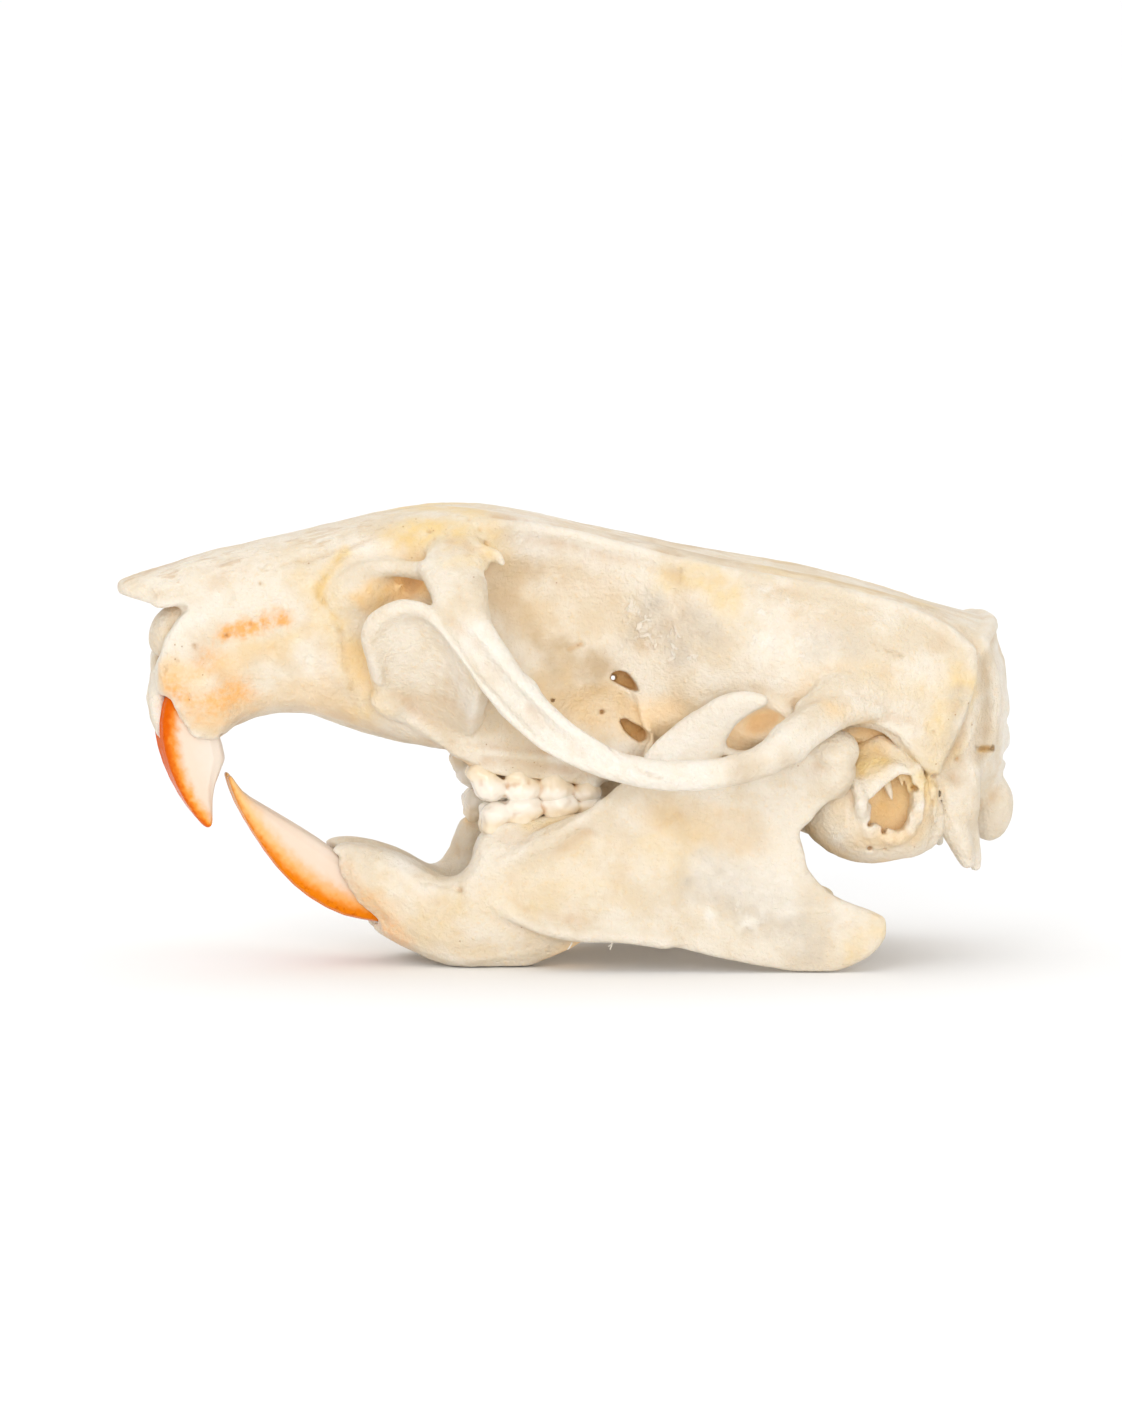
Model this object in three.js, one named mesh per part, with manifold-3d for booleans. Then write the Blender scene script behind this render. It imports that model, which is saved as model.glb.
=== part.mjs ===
import * as THREE from 'three';
import Module from 'manifold-3d';

// Skull of an adult brown rat resting on its lower jaw. Millimetres, +Z up,
// nose towards -X, the skull's left side towards -Y. Points are written as
// [x, w, z], where w is the distance from the midline on the left side.

const wasm = await Module();
wasm.setup();

// Driving sizes
const seamGap = 0.3;
const floorLevel = 0;
const sectionSides = 24;
const shellRings = 36;

// Five lines that run from the nose to the back of the head on the left half
const crownLine = [
  [-20.6, 0, 19.75], [-19.2, 0, 20.2], [-17.6, 0, 20.65], [-16.2, 0, 20.95],
  [-14, 0, 21.4], [-12, 0, 21.8], [-10, 0, 22.25], [-7.5, 0, 22.65],
  [-5, 0, 22.7], [-2.5, 0, 22.35], [0, 0, 21.8], [2.5, 0, 21.2],
  [5, 0, 20.65], [8, 0, 19.95], [11, 0, 19.35], [14, 0, 18.7],
  [17, 0, 17.95], [19.6, 0, 17.3], [21.4, 0, 16.75], [22.3, 0, 15.4],
];
const ridgeLine = [
  [-20.6, 1.75, 18.9], [-19.2, 2.05, 19.4], [-17.6, 2.25, 19.85], [-16.2, 2.35, 20.15],
  [-14, 2.45, 20.6], [-12, 2.6, 21.05], [-10, 2.9, 21.5], [-7.5, 3.5, 22.05],
  [-5, 3.95, 22.3], [-2.5, 3.6, 22.1], [0, 3.4, 21.65], [2.5, 3.65, 21.0],
  [5, 4.5, 20.35], [8, 5.1, 19.75], [11, 5.45, 19.25], [14, 5.6, 18.55],
  [17, 5.7, 17.65], [19.6, 5.6, 16.4], [21.4, 3.4, 15.9], [22.3, 1.4, 14.9],
];
const flankLine = [
  [-20.4, 2.2, 16.3], [-19.2, 2.6, 16.2], [-17.6, 2.95, 16.4], [-16.2, 3.1, 16.6],
  [-14, 3.25, 17.0], [-12, 3.4, 17.2], [-10, 3.6, 17.4], [-7.5, 3.7, 17.6],
  [-5, 3.3, 18.0], [-2.5, 2.9, 18.0], [0, 2.85, 17.4], [2.5, 3.5, 16.8],
  [5, 5.3, 16.3], [8, 7.2, 15.7], [11, 7.75, 15.2], [14, 7.85, 14.6],
  [17, 7.65, 13.9], [19.6, 6.7, 13.3], [21.4, 4.4, 12.6], [22.3, 2.4, 12.4],
];
const jawLine = [
  [-20.35, 2.0, 14.2], [-19.2, 2.45, 12.6], [-17.6, 2.55, 11.9], [-16.2, 2.4, 12.9],
  [-14, 2.35, 13.4], [-12, 2.5, 13.0], [-10, 2.8, 12.4], [-7.5, 3.5, 11.8],
  [-5, 3.9, 11.5], [-2.5, 3.95, 11.3], [0, 3.85, 11.3], [2.5, 3.7, 11.3],
  [5, 4.4, 11.2], [8, 5.5, 11.0], [11, 5.7, 10.8], [14, 5.5, 10.4],
  [17, 6.4, 9.8], [19.6, 6.0, 9.4], [21.4, 3.8, 9.2], [22.3, 1.9, 9.6],
];
const baseLine = [
  [-20.4, 0, 13.7], [-19.2, 0, 12.0], [-17.6, 0, 11.1], [-16.2, 0, 12.1],
  [-14, 0, 12.6], [-12, 0, 12.2], [-10, 0, 11.55], [-7.5, 0, 10.85],
  [-5, 0, 10.6], [-2.5, 0, 10.4], [0, 0, 10.3], [2.5, 0, 10.2],
  [5, 0, 9.8], [8, 0, 9.3], [11, 0, 8.8], [14, 0, 8.3],
  [17, 0, 7.7], [19.6, 0, 7.2], [21.4, 0, 7.6], [22.3, 0, 9.0],
];

// Nasal bones that overhang the nose opening
const nasalCrown = [[-22.4, 0, 19.05], [-21.3, 0, 19.5], [-20, 0, 19.95], [-18, 0, 20.5], [-16, 0, 20.9]];
const nasalEdge = [
  [-22.4, 0.5, 18.9], [-21.3, 1.35, 18.5], [-20, 1.9, 18.2], [-18, 2.2, 18.5], [-16, 2.2, 19.4],
];

// Cheek plate and cheek arch on the left side
const plateRim = [
  [-10.1, 5.8, 15.4], [-10.5, 6.4, 16.7], [-10.0, 6.9, 17.9], [-8.6, 7.4, 18.4],
  [-7.1, 7.9, 18.2], [-5.9, 8.3, 16.8], [-5.0, 8.3, 14.4],
];
const plateFoot = [
  [-9.5, 2.8, 12.6], [-8.9, 2.9, 12.4], [-8.4, 3.1, 12.3], [-7.5, 3.3, 12.1],
  [-6.6, 3.5, 11.9], [-5.7, 3.7, 11.7], [-4.8, 3.9, 11.6],
];
const rootPath = [
  [-5.5, 2.9, 21.0], [-5.8, 4.6, 20.7], [-5.9, 6.2, 19.8], [-5.8, 7.4, 18.6], [-5.4, 8.1, 17.2],
];
const rootSizes = [[1.3, 1.9], [0.9, 1.65], [0.7, 1.35], [0.7, 1.2], [0.65, 0.9]];
const archUpper = [
  [-6.2, 7.4, 19.0], [-5.2, 7.9, 18.6], [-4.0, 8.8, 16.6], [-3.1, 9.3, 15.2], [-1.9, 9.8, 13.8],
  [-0.5, 10.3, 12.5], [1.6, 10.8, 11.4], [4.3, 11.0, 11.0], [6.8, 10.9, 11.2],
  [9.0, 10.3, 11.9], [10.6, 9.4, 13.3], [12.6, 8.4, 13.6], [14.8, 7.4, 13.6],
];
const archLower = [
  [-6.4, 8.2, 16.9], [-5.5, 8.5, 16.1], [-4.7, 8.8, 14.2], [-3.6, 9.4, 13.0], [-2.2, 10.0, 11.8],
  [-0.6, 10.5, 10.7], [1.6, 10.9, 9.95], [4.3, 11.1, 9.55], [6.9, 10.9, 9.75],
  [9.4, 10.5, 10.4], [11.4, 9.8, 11.6], [13.2, 8.9, 12.5], [15.0, 7.6, 12.5],
];

const archThick = [1.0, 1.1, 1.1, 1.2, 1.3, 1.4, 1.4, 1.3, 1.2, 1.2, 1.3, 1.4, 1.2];

// Teeth: [front, rear, root, crown, lobes] of every molar, then the two incisors
const molarOuter = 4.15;
const molarWidth = 2.0;
const upperMolars = [[-4.95, -1.7, 10.6, 8.62, 3], [-1.6, 0.15, 10.3, 8.52, 2], [0.25, 1.5, 9.9, 8.46, 2]];
const lowerMolars = [[-4.35, -1.5, 6.0, 8.3, 3], [-1.42, 0.5, 6.2, 8.2, 2], [0.58, 1.6, 6.4, 8.14, 2]];
const upperIncisorFront = [
  [-19.4, 1.2, 14.7], [-19.75, 1.2, 14.0], [-20.1, 1.17, 13.1], [-20.25, 1.15, 11.9], [-20.1, 1.1, 10.8],
  [-19.7, 1.05, 9.6], [-19.1, 1.0, 8.4], [-18.5, 1.0, 7.55], [-17.95, 1.0, 7.0],
];
const upperIncisorBack = [
  [-17.8, 1.2, 14.1], [-17.75, 1.2, 13.4], [-17.6, 1.17, 12.5], [-17.3, 1.15, 11.4], [-17.05, 1.1, 10.4],
  [-17.45, 1.05, 9.4], [-17.65, 1.0, 8.5], [-17.7, 1.0, 7.8], [-17.75, 1.0, 7.1],
];
const lowerIncisorFront = [
  [-9.2, 1.0, 2.2], [-11.0, 0.9, 2.55], [-12.7, 0.82, 3.45], [-14.2, 0.78, 4.8],
  [-15.4, 0.76, 6.4], [-16.3, 0.74, 8.0], [-16.85, 0.72, 9.5],
];
const lowerIncisorBack = [
  [-8.9, 1.0, 3.9], [-10.6, 0.9, 4.9], [-12.2, 0.82, 6.1], [-13.6, 0.78, 7.0],
  [-15.0, 0.76, 7.85], [-16.1, 0.74, 8.6], [-16.75, 0.72, 9.55],
];

// Lower jaw, left half
const bodyUpper = [
  [-11.85, 1.2, 5.9], [-11.0, 1.35, 6.1], [-9.6, 1.6, 5.95], [-8.1, 2.0, 5.4], [-6.9, 2.5, 4.75],
  [-5.8, 3.0, 4.5], [-5.0, 3.4, 5.4], [-4.4, 3.5, 6.8], [-2.4, 3.6, 7.3], [-0.4, 3.7, 7.6],
  [1.6, 3.9, 7.9], [3.4, 4.5, 7.4],
];
const bodyLower = [
  [-9.5, 1.3, 1.6], [-9.2, 1.35, 1.5], [-8.4, 1.6, 1.1], [-7.4, 2.0, 0.65], [-6.4, 2.4, 0.25],
  [-5.4, 2.7, 0.0], [-4.4, 2.9, -0.06], [-3.4, 3.0, -0.08], [-2.2, 3.2, -0.02], [-1.0, 3.6, 0.5],
  [0.6, 4.0, 1.3], [2.4, 4.6, 2.4],
];
const bodyThick = [2.3, 2.4, 2.6, 2.8, 2.9, 3.0, 3.0, 3.1, 3.1, 2.9, 2.4, 1.6];
const ramusUpper = [
  [-4.2, 3.9, 5.2], [-2.8, 4.3, 6.4], [-1.0, 4.6, 7.4], [1.0, 4.9, 8.0], [3.4, 5.6, 8.4],
  [6.0, 6.3, 8.3], [8.6, 6.9, 8.0], [10.9, 7.3, 7.0], [11.2, 7.4, 5.3], [12.6, 7.6, 3.85],
  [14.1, 7.7, 3.2], [15.1, 7.8, 2.7],
];
const ramusLower = [
  [-4.5, 3.9, 3.7], [-3.5, 4.4, 2.8], [-2.0, 5.0, 2.1], [0.0, 5.4, 1.6], [2.1, 5.9, 1.6],
  [4.2, 6.4, 1.3], [6.4, 6.9, 0.7], [8.6, 7.3, 0.3], [10.6, 7.5, -0.02], [12.4, 7.7, -0.06],
  [14.2, 7.9, 0.7], [15.1, 7.9, 1.7],
];
const ramusThick = [0.7, 1.2, 1.6, 1.4, 1.1, 0.9, 0.8, 0.8, 0.8, 0.8, 0.8, 0.7];
const condyleFront = [
  [4.6, 6.1, 9.2], [7.2, 6.7, 10.7], [9.2, 7.3, 11.2], [11.0, 7.7, 11.5], [12.0, 7.9, 11.8],
];
const condyleBack = [
  [7.0, 6.6, 5.0], [10.9, 7.3, 6.9], [12.0, 7.5, 8.2], [13.0, 7.8, 9.0], [13.5, 7.9, 10.0],
];
const condyleThick = [0.8, 0.9, 1.1, 1.5, 1.9];
const condyleHead = [[12.5, 7.95, 11.05], [1.25, 1.0, 1.05], 12, 8];
const coronoidFront = [
  [0.4, 5.1, 7.4], [1.8, 5.5, 9.0], [3.6, 6.3, 10.5], [5.0, 7.0, 12.4],
  [6.6, 7.8, 13.75], [8.0, 8.4, 14.1], [9.1, 8.7, 13.85],
];
const coronoidBack = [
  [3.4, 5.6, 5.6], [5.2, 6.1, 7.8], [6.6, 6.6, 9.6], [7.1, 7.1, 11.2],
  [7.6, 7.7, 12.4], [8.4, 8.2, 13.1], [9.1, 8.6, 13.5],
];
const rightAngleDrop = 0.6;
const coronoidThick = [1.3, 1.1, 0.9, 0.8, 0.75, 0.7, 0.6];

// Ear capsule, left side
const bullaCentre = [14.9, 5.1, 8.1];
const bullaRadii = [3.6, 2.6, 2.85];
const meatusCentre = [15.4, 7.9, 8.4];

const boneMaterial = new THREE.MeshStandardMaterial({
  name: 'bone', color: 0xe9dcc2, roughness: 0.5, metalness: 0,
});
const enamelMaterial = new THREE.MeshStandardMaterial({
  name: 'incisor_enamel', color: 0xd9823a, roughness: 0.3, metalness: 0,
});

function spot([x, w, z]) {
  return new THREE.Vector3(x, -w, z);
}

function line(points) {
  return new THREE.CatmullRomCurve3(points.map(spot), false, 'catmullrom', 0.5);
}

// Value part of the way along a list of sizes
function along(sizes, t) {
  const place = t * (sizes.length - 1);
  const first = Math.min(Math.floor(place), sizes.length - 2);
  return THREE.MathUtils.lerp(sizes[first], sizes[first + 1], place - first);
}

// Closed surface through a row of rings that all hold the same number of points
function loft(rings) {
  const count = rings[0].length;
  const positions = [];
  const faces = [];
  for (const ring of rings) {
    for (const point of ring) {
      positions.push(point.x, point.y, point.z);
    }
  }
  for (let r = 0; r < rings.length - 1; r += 1) {
    for (let k = 0; k < count; k += 1) {
      const a = r * count + k;
      const b = r * count + ((k + 1) % count);
      faces.push(a, b, a + count, b, b + count, a + count);
    }
  }
  for (const end of [0, rings.length - 1]) {
    const middle = new THREE.Vector3();
    rings[end].forEach((point) => middle.addScaledVector(point, 1 / count));
    const hub = positions.length / 3;
    positions.push(middle.x, middle.y, middle.z);
    for (let k = 0; k < count; k += 1) {
      const a = end * count + k;
      const b = end * count + ((k + 1) % count);
      faces.push(...(end === 0 ? [hub, b, a] : [hub, a, b]));
    }
  }
  const geometry = new THREE.BufferGeometry();
  geometry.setAttribute('position', new THREE.Float32BufferAttribute(positions, 3));
  geometry.setIndex(faces);
  return geometry;
}

function rounded(value, power) {
  return Math.sign(value) * Math.abs(value) ** power;
}

// Plate stretched between two edge lines
function blade(upper, lower, thick, steps, sides = 10, power = 0.6) {
  const top = line(upper);
  const bottom = line(lower);
  const middle = (t) => top.getPoint(t).add(bottom.getPoint(t)).multiplyScalar(0.5);
  const rings = [];
  for (let i = 0; i <= steps; i += 1) {
    const t = i / steps;
    const centre = middle(t);
    const reach = top.getPoint(t).sub(bottom.getPoint(t)).multiplyScalar(0.5);
    const run = middle(Math.min(t + 0.02, 1)).sub(middle(Math.max(t - 0.02, 0)));
    const side = new THREE.Vector3().crossVectors(run, reach).normalize();
    const half = along(thick, t) / 2;
    const ring = [];
    for (let k = 0; k < sides; k += 1) {
      const turn = (2 * Math.PI * (k + 0.5)) / sides;
      const point = centre.clone();
      point.addScaledVector(reach, rounded(Math.cos(turn), power));
      point.addScaledVector(side, half * rounded(Math.sin(turn), power));
      ring.push(point);
    }
    rings.push(ring);
  }
  return loft(rings);
}

// Rod with an oval section that follows a path
function horn(path, sizes, steps, sides = 10, up = new THREE.Vector3(0, 0, 1)) {
  const curve = line(path);
  const rings = [];
  for (let i = 0; i <= steps; i += 1) {
    const t = i / steps;
    const centre = curve.getPoint(t);
    const run = curve.getTangent(t);
    const side = new THREE.Vector3().crossVectors(run, up).normalize();
    const rise = new THREE.Vector3().crossVectors(side, run);
    const wide = along(sizes.map((size) => size[0]), t);
    const tall = along(sizes.map((size) => size[1]), t);
    const ring = [];
    for (let k = 0; k < sides; k += 1) {
      const turn = (2 * Math.PI * k) / sides;
      const point = centre.clone();
      point.addScaledVector(side, wide * Math.cos(turn));
      point.addScaledVector(rise, tall * Math.sin(turn));
      ring.push(point);
    }
    rings.push(ring);
  }
  return loft(rings);
}

function blob(centre, radii, around = 14, down = 10) {
  const geometry = new THREE.SphereGeometry(1, around, down);
  geometry.rotateX(Math.PI / 2);
  geometry.scale(...radii);
  const place = spot(centre);
  return geometry.translate(place.x, place.y, place.z);
}

function mirrored(geometry) {
  return geometry.clone().scale(1, -1, 1);
}

function both(geometry) {
  return [geometry, mirrored(geometry)];
}

// Closed solid from a geometry, with its faces turned outwards
function solid(geometry) {
  const position = geometry.getAttribute('position');
  const source = geometry.index ? geometry.index.array : [...Array(position.count).keys()];
  const seen = new Map();
  const corners = [];
  const remap = [];
  for (let i = 0; i < position.count; i += 1) {
    const point = [position.getX(i), position.getY(i), position.getZ(i)];
    const key = point.map((value) => Math.round(value * 1e4)).join(' ');
    if (!seen.has(key)) {
      seen.set(key, corners.length / 3);
      corners.push(...point);
    }
    remap.push(seen.get(key));
  }
  const at = (i) => new THREE.Vector3().fromArray(corners, i * 3);
  const faces = [];
  let volume = 0;
  for (let i = 0; i < source.length; i += 3) {
    const [a, b, c] = [remap[source[i]], remap[source[i + 1]], remap[source[i + 2]]];
    if (a !== b && b !== c && c !== a) {
      faces.push(a, b, c);
      volume += at(a).dot(at(b).cross(at(c)));
    }
  }
  if (volume < 0) {
    for (let i = 0; i < faces.length; i += 3) {
      [faces[i + 1], faces[i + 2]] = [faces[i + 2], faces[i + 1]];
    }
  }
  const mesh = new wasm.Mesh({
    numProp: 3,
    vertProperties: new Float32Array(corners),
    triVerts: new Uint32Array(faces),
  });
  return new wasm.Manifold(mesh);
}

function join(geometries) {
  return geometries.map(solid).reduce((sum, next) => sum.add(next));
}

function cut(body, geometries) {
  return geometries.map(solid).reduce((rest, next) => rest.subtract(next), body);
}

function largest(body) {
  return body.decompose().reduce((best, next) => (next.volume() > best.volume() ? next : best));
}

function node(name, body, material) {
  const shape = body.getMesh();
  const geometry = new THREE.BufferGeometry();
  const count = shape.vertProperties.length / shape.numProp;
  const positions = [];
  for (let i = 0; i < count; i += 1) {
    const start = i * shape.numProp;
    positions.push(...shape.vertProperties.slice(start, start + 3));
  }
  geometry.setAttribute('position', new THREE.Float32BufferAttribute(positions, 3));
  geometry.setIndex([...shape.triVerts]);
  geometry.computeVertexNormals();
  const mesh = new THREE.Mesh(geometry, material);
  mesh.name = name;
  return mesh;
}

// Shell of the skull from nose to nape
function skullShell() {
  const lines = [crownLine, ridgeLine, flankLine, jawLine, baseLine].map(line);
  const rings = [];
  for (let i = 0; i <= shellRings; i += 1) {
    const left = lines.map((curve) => curve.getPoint(i / shellRings));
    const right = left.slice(1, 4).reverse().map((point) => point.clone().setY(-point.y));
    const section = new THREE.CatmullRomCurve3([...left, ...right], true, 'centripetal');
    rings.push(Array.from({ length: sectionSides }, (_, k) => section.getPoint(k / sectionSides)));
  }
  return loft(rings);
}

// Nasal bones as one roof over the nose opening
function nasalRoof() {
  const crown = line(nasalCrown);
  const edge = line(nasalEdge);
  const rings = [];
  for (let i = 0; i <= 12; i += 1) {
    const top = crown.getPoint(i / 12);
    const side = edge.getPoint(i / 12);
    const rise = top.z - side.z;
    const ring = [];
    for (let k = 0; k < 20; k += 1) {
      const turn = (2 * Math.PI * k) / 20;
      const across = rounded(Math.cos(turn), 0.7);
      const up = Math.sin(turn) > 0 ? rounded(Math.sin(turn), 0.9) * rise : Math.sin(turn) * 0.12;
      ring.push(new THREE.Vector3(top.x, side.y * across, side.z + up));
    }
    rings.push(ring);
  }
  return loft(rings);
}

// Slanting front edge of the jaw bones below the nasals, and the hollow behind it
function noseOpening() {
  const profile = new THREE.Shape();
  profile.moveTo(-18.6, 18.3);
  profile.lineTo(-19.4, 17.5);
  profile.lineTo(-20.05, 16.5);
  profile.lineTo(-20.3, 15.4);
  profile.lineTo(-24, 15.0);
  profile.lineTo(-24, 18.05);
  profile.lineTo(-20, 18.05);
  const wedge = new THREE.ExtrudeGeometry(profile, { depth: 8, bevelEnabled: false });
  wedge.translate(0, 0, -4);
  wedge.rotateX(Math.PI / 2);
  const path = [[-23, 0, 16.4], [-20.5, 0, 16.7], [-18, 0, 17.0], [-15, 0, 17.4]];
  const hollow = horn(path, [[1.5, 1.6], [1.65, 1.7], [1.7, 1.7], [0.9, 1.0]], 8, 16);
  return [wedge, hollow];
}

// Row of molars, each crown scalloped into its lobes
function molarRow(molars, lean) {
  const pieces = [];
  for (const [front, rear, root, crown, lobes] of molars) {
    const long = (rear - front) / 2;
    const middle = molarOuter - molarWidth / 2 + lean;
    const count = 8 * lobes;
    const rings = [[root, 0.9], [(root + 2 * crown) / 3, 1], [crown, 0.86]].map(([z, spread]) => {
      const ring = [];
      for (let k = 0; k < count; k += 1) {
        const turn = (2 * Math.PI * (k + 0.5)) / count;
        const fore = rounded(Math.cos(turn), 0.7);
        const scallop = 0.9 - 0.1 * Math.cos(Math.PI * lobes * (fore + 1));
        const across = rounded(Math.sin(turn), 0.7) * (molarWidth / 2) * scallop;
        ring.push(spot([(front + rear) / 2 + long * fore, middle + across * spread, z]));
      }
      return ring;
    });
    pieces.push(loft(rings));
  }
  return pieces;
}

// One incisor, wide across its cutting edge
function incisor(front, back, width, grow) {
  const outer = line(front);
  const inner = line(back);
  const rings = [];
  const steps = 12;
  for (let i = 0; i <= steps; i += 1) {
    const fore = outer.getPoint(i / steps);
    const aft = inner.getPoint(i / steps);
    if (i === 0) {
      fore.addScaledVector(outer.getTangent(0), -grow);
      aft.addScaledVector(inner.getTangent(0), -grow);
    }
    const centre = fore.clone().add(aft).multiplyScalar(0.5);
    const reach = fore.clone().sub(aft).multiplyScalar(0.5);
    reach.setLength(reach.length() + grow);
    const ring = [];
    for (let k = 0; k < 12; k += 1) {
      const turn = (2 * Math.PI * k) / 12;
      const point = centre.clone().addScaledVector(reach, rounded(Math.cos(turn), 0.75));
      point.y += (width / 2 + grow) * rounded(Math.sin(turn), 0.7);
      ring.push(point);
    }
    rings.push(ring);
  }
  return loft(rings);
}

function upperIncisor(grow) {
  return incisor(upperIncisorFront, upperIncisorBack, 1.65, grow);
}

function lowerIncisor(grow) {
  return incisor(lowerIncisorFront, lowerIncisorBack, 1.2, grow);
}

// Ear capsule with its opening on the outer side
function earCapsule(grow) {
  return blob(bullaCentre, bullaRadii.map((radius) => radius + grow), 16, 10);
}

// Thin parting across a bone
function parting(centre, lean, size) {
  const slab = new THREE.BoxGeometry(seamGap, size, size);
  slab.rotateY(lean);
  const place = spot(centre);
  return slab.translate(place.x, place.y, place.z);
}

function wholeSkull() {
  const forms = [skullShell(), nasalRoof()];
  const cheekPlate = blade(plateRim, plateFoot, [1.0, 0.9, 0.8, 0.8, 0.8, 0.9, 1.0], 12, 8);
  const cheekRoot = horn(rootPath, rootSizes, 7, 10, new THREE.Vector3(1, 0, 0));
  const arch = blade(archUpper, archLower, archThick, 26, 8, 0.75);
  const toothRidge = horn(
    [[-6.2, 3, 11.6], [-4.9, 3.15, 10.95], [-2, 3.2, 10.6], [1.2, 3.2, 10.1], [3.6, 3, 10.2], [6, 2.6, 9.9]],
    [[0.7, 0.6], [1.15, 0.95], [1.15, 1.0], [1.05, 1.0], [0.8, 0.8], [0.4, 0.5]], 9, 8,
  );
  const crest = horn(
    [[21.6, 0, 16.65], [21.3, 2.4, 16.6], [20.4, 4.9, 16.1], [19.5, 6.4, 15.3], [19.25, 6.9, 14.0],
      [18.9, 7.0, 12.5], [18.3, 6.9, 11.1], [17.7, 6.7, 9.8], [17.5, 6.4, 8.9]],
    [[0.45, 0.45], [0.5, 0.5], [0.55, 0.55], [0.5, 0.5], [0.4, 0.4]],
    15, 6,
  );
  const earHook = blade(
    [[14.2, 7.4, 13.2], [15.6, 7.5, 12.9], [17.0, 7.4, 12.4], [18.3, 7.0, 11.8]],
    [[14.4, 7.5, 12.3], [15.7, 7.5, 11.7], [16.8, 7.3, 10.4], [17.7, 6.9, 9.7]], [0.9, 0.9, 0.9, 1.0], 6, 8,
  );
  const rearSpike = horn(
    [[18.2, 5.4, 9.4], [18.7, 5.8, 7.6], [19.3, 5.9, 6.0], [19.7, 5.8, 4.9]],
    [[1.3, 1.0], [1.0, 0.8], [0.7, 0.55], [0.3, 0.3]], 6, 8, new THREE.Vector3(1, 0, 0),
  );
  const condyle = blob([21.3, 2.45, 7.7], [1.15, 1.1, 1.75], 10, 8);
  const throatWing = blade(
    [[2.6, 2.2, 10.4], [4.6, 2.0, 10.0], [6.8, 1.9, 9.7], [9.0, 2.3, 9.2]],
    [[2.6, 2.4, 9.5], [4.6, 2.2, 8.5], [6.8, 2.0, 7.9], [9.2, 2.2, 8.2]], [0.7, 0.6, 0.6, 0.7], 6, 8,
  );
  const pairs = [cheekPlate, cheekRoot, arch, toothRidge, crest, earHook, rearSpike, condyle, throatWing];
  pairs.forEach((part) => forms.push(...both(part)));
  molarRow(upperMolars, 0).forEach((lobe) => forms.push(...both(lobe)));
  const spinalOpening = blob([22.2, 0, 8.7], [2.6, 2.1, 1.9], 12, 8);
  const palateSlot = blob([-10.6, 0.75, 11.7], [3.4, 0.4, 1.4], 10, 6);
  const throatChannel = blob([5.4, 0, 9.5], [3.4, 1.5, 1.5], 12, 8);
  const cuts = [...noseOpening(), spinalOpening, throatChannel];
  cuts.push(...both(palateSlot), ...both(upperIncisor(seamGap)), ...both(earCapsule(seamGap)));
  cuts.push(...both(parting([-3.3, 9.2, 14.2], 0.9, 3.4)), ...both(parting([9.9, 10.1, 11.6], -0.62, 3.4)));
  return cut(join(forms), cuts);
}

function leftEarCapsule() {
  const rim = horn(
    [[13.9, 7.0, 7.9], [14.3, 7.2, 9.3], [15.6, 7.25, 10.0], [16.9, 7.2, 9.2], [17.0, 7.0, 7.8]],
    [[0.4, 0.4], [0.4, 0.4]], 8, 6, new THREE.Vector3(0, 1, 0),
  );
  const opening = blob(meatusCentre, [1.35, 2.2, 1.35], 14, 10);
  return largest(cut(join([earCapsule(0), rim]), [opening]));
}

// Left half of the lower jaw; angleDrop lowers the upper edge of its rear corner
function lowerJaw(angleDrop) {
  const last = ramusUpper.length - 1;
  const rearEdge = ramusUpper.map(([x, w, z], i) => [x, w, z - (i > last - 3 ? angleDrop : 0)]);
  const forms = [
    blade(bodyUpper, bodyLower, bodyThick, 24, 12, 0.8),
    blade(rearEdge, ramusLower, ramusThick, 22, 8, 0.6),
    blade(condyleFront, condyleBack, condyleThick, 9, 8, 0.7),
    blade(coronoidFront, coronoidBack, coronoidThick, 12, 8, 0.6),
    blob(...condyleHead),
    ...molarRow(lowerMolars, 0.1),
  ];
  const floor = new THREE.BoxGeometry(80, 40, 10).translate(0, 0, floorLevel - 5);
  const midline = new THREE.BoxGeometry(80, 10, 40).translate(0, 5 - seamGap / 2, 0);
  return largest(cut(join(forms), [lowerIncisor(seamGap), floor, midline]));
}

function flip(body) {
  return solid(mirrored(node('', body, boneMaterial).geometry));
}

const skullPieces = wholeSkull().decompose().sort((a, b) => b.volume() - a.volume());
const cranium = skullPieces[0];
const archOnLeft = skullPieces.slice(1, 3).find((piece) => piece.boundingBox().max[1] < 0);
const ear = leftEarCapsule();
const upperTooth = solid(upperIncisor(0));
const lowerTooth = solid(lowerIncisor(0));

const skull = new THREE.Group();
skull.name = 'rat_skull';
skull.add(
  node('cranium', cranium, boneMaterial),
  node('zygomatic_arch_left', archOnLeft, boneMaterial),
  node('zygomatic_arch_right', flip(archOnLeft), boneMaterial),
  node('auditory_bulla_left', ear, boneMaterial),
  node('auditory_bulla_right', flip(ear), boneMaterial),
  node('mandible_left', lowerJaw(0), boneMaterial),
  node('mandible_right', flip(lowerJaw(rightAngleDrop)), boneMaterial),
  node('upper_incisor_left', upperTooth, enamelMaterial),
  node('upper_incisor_right', flip(upperTooth), enamelMaterial),
  node('lower_incisor_left', lowerTooth, enamelMaterial),
  node('lower_incisor_right', flip(lowerTooth), enamelMaterial),
);

export default skull;
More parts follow.
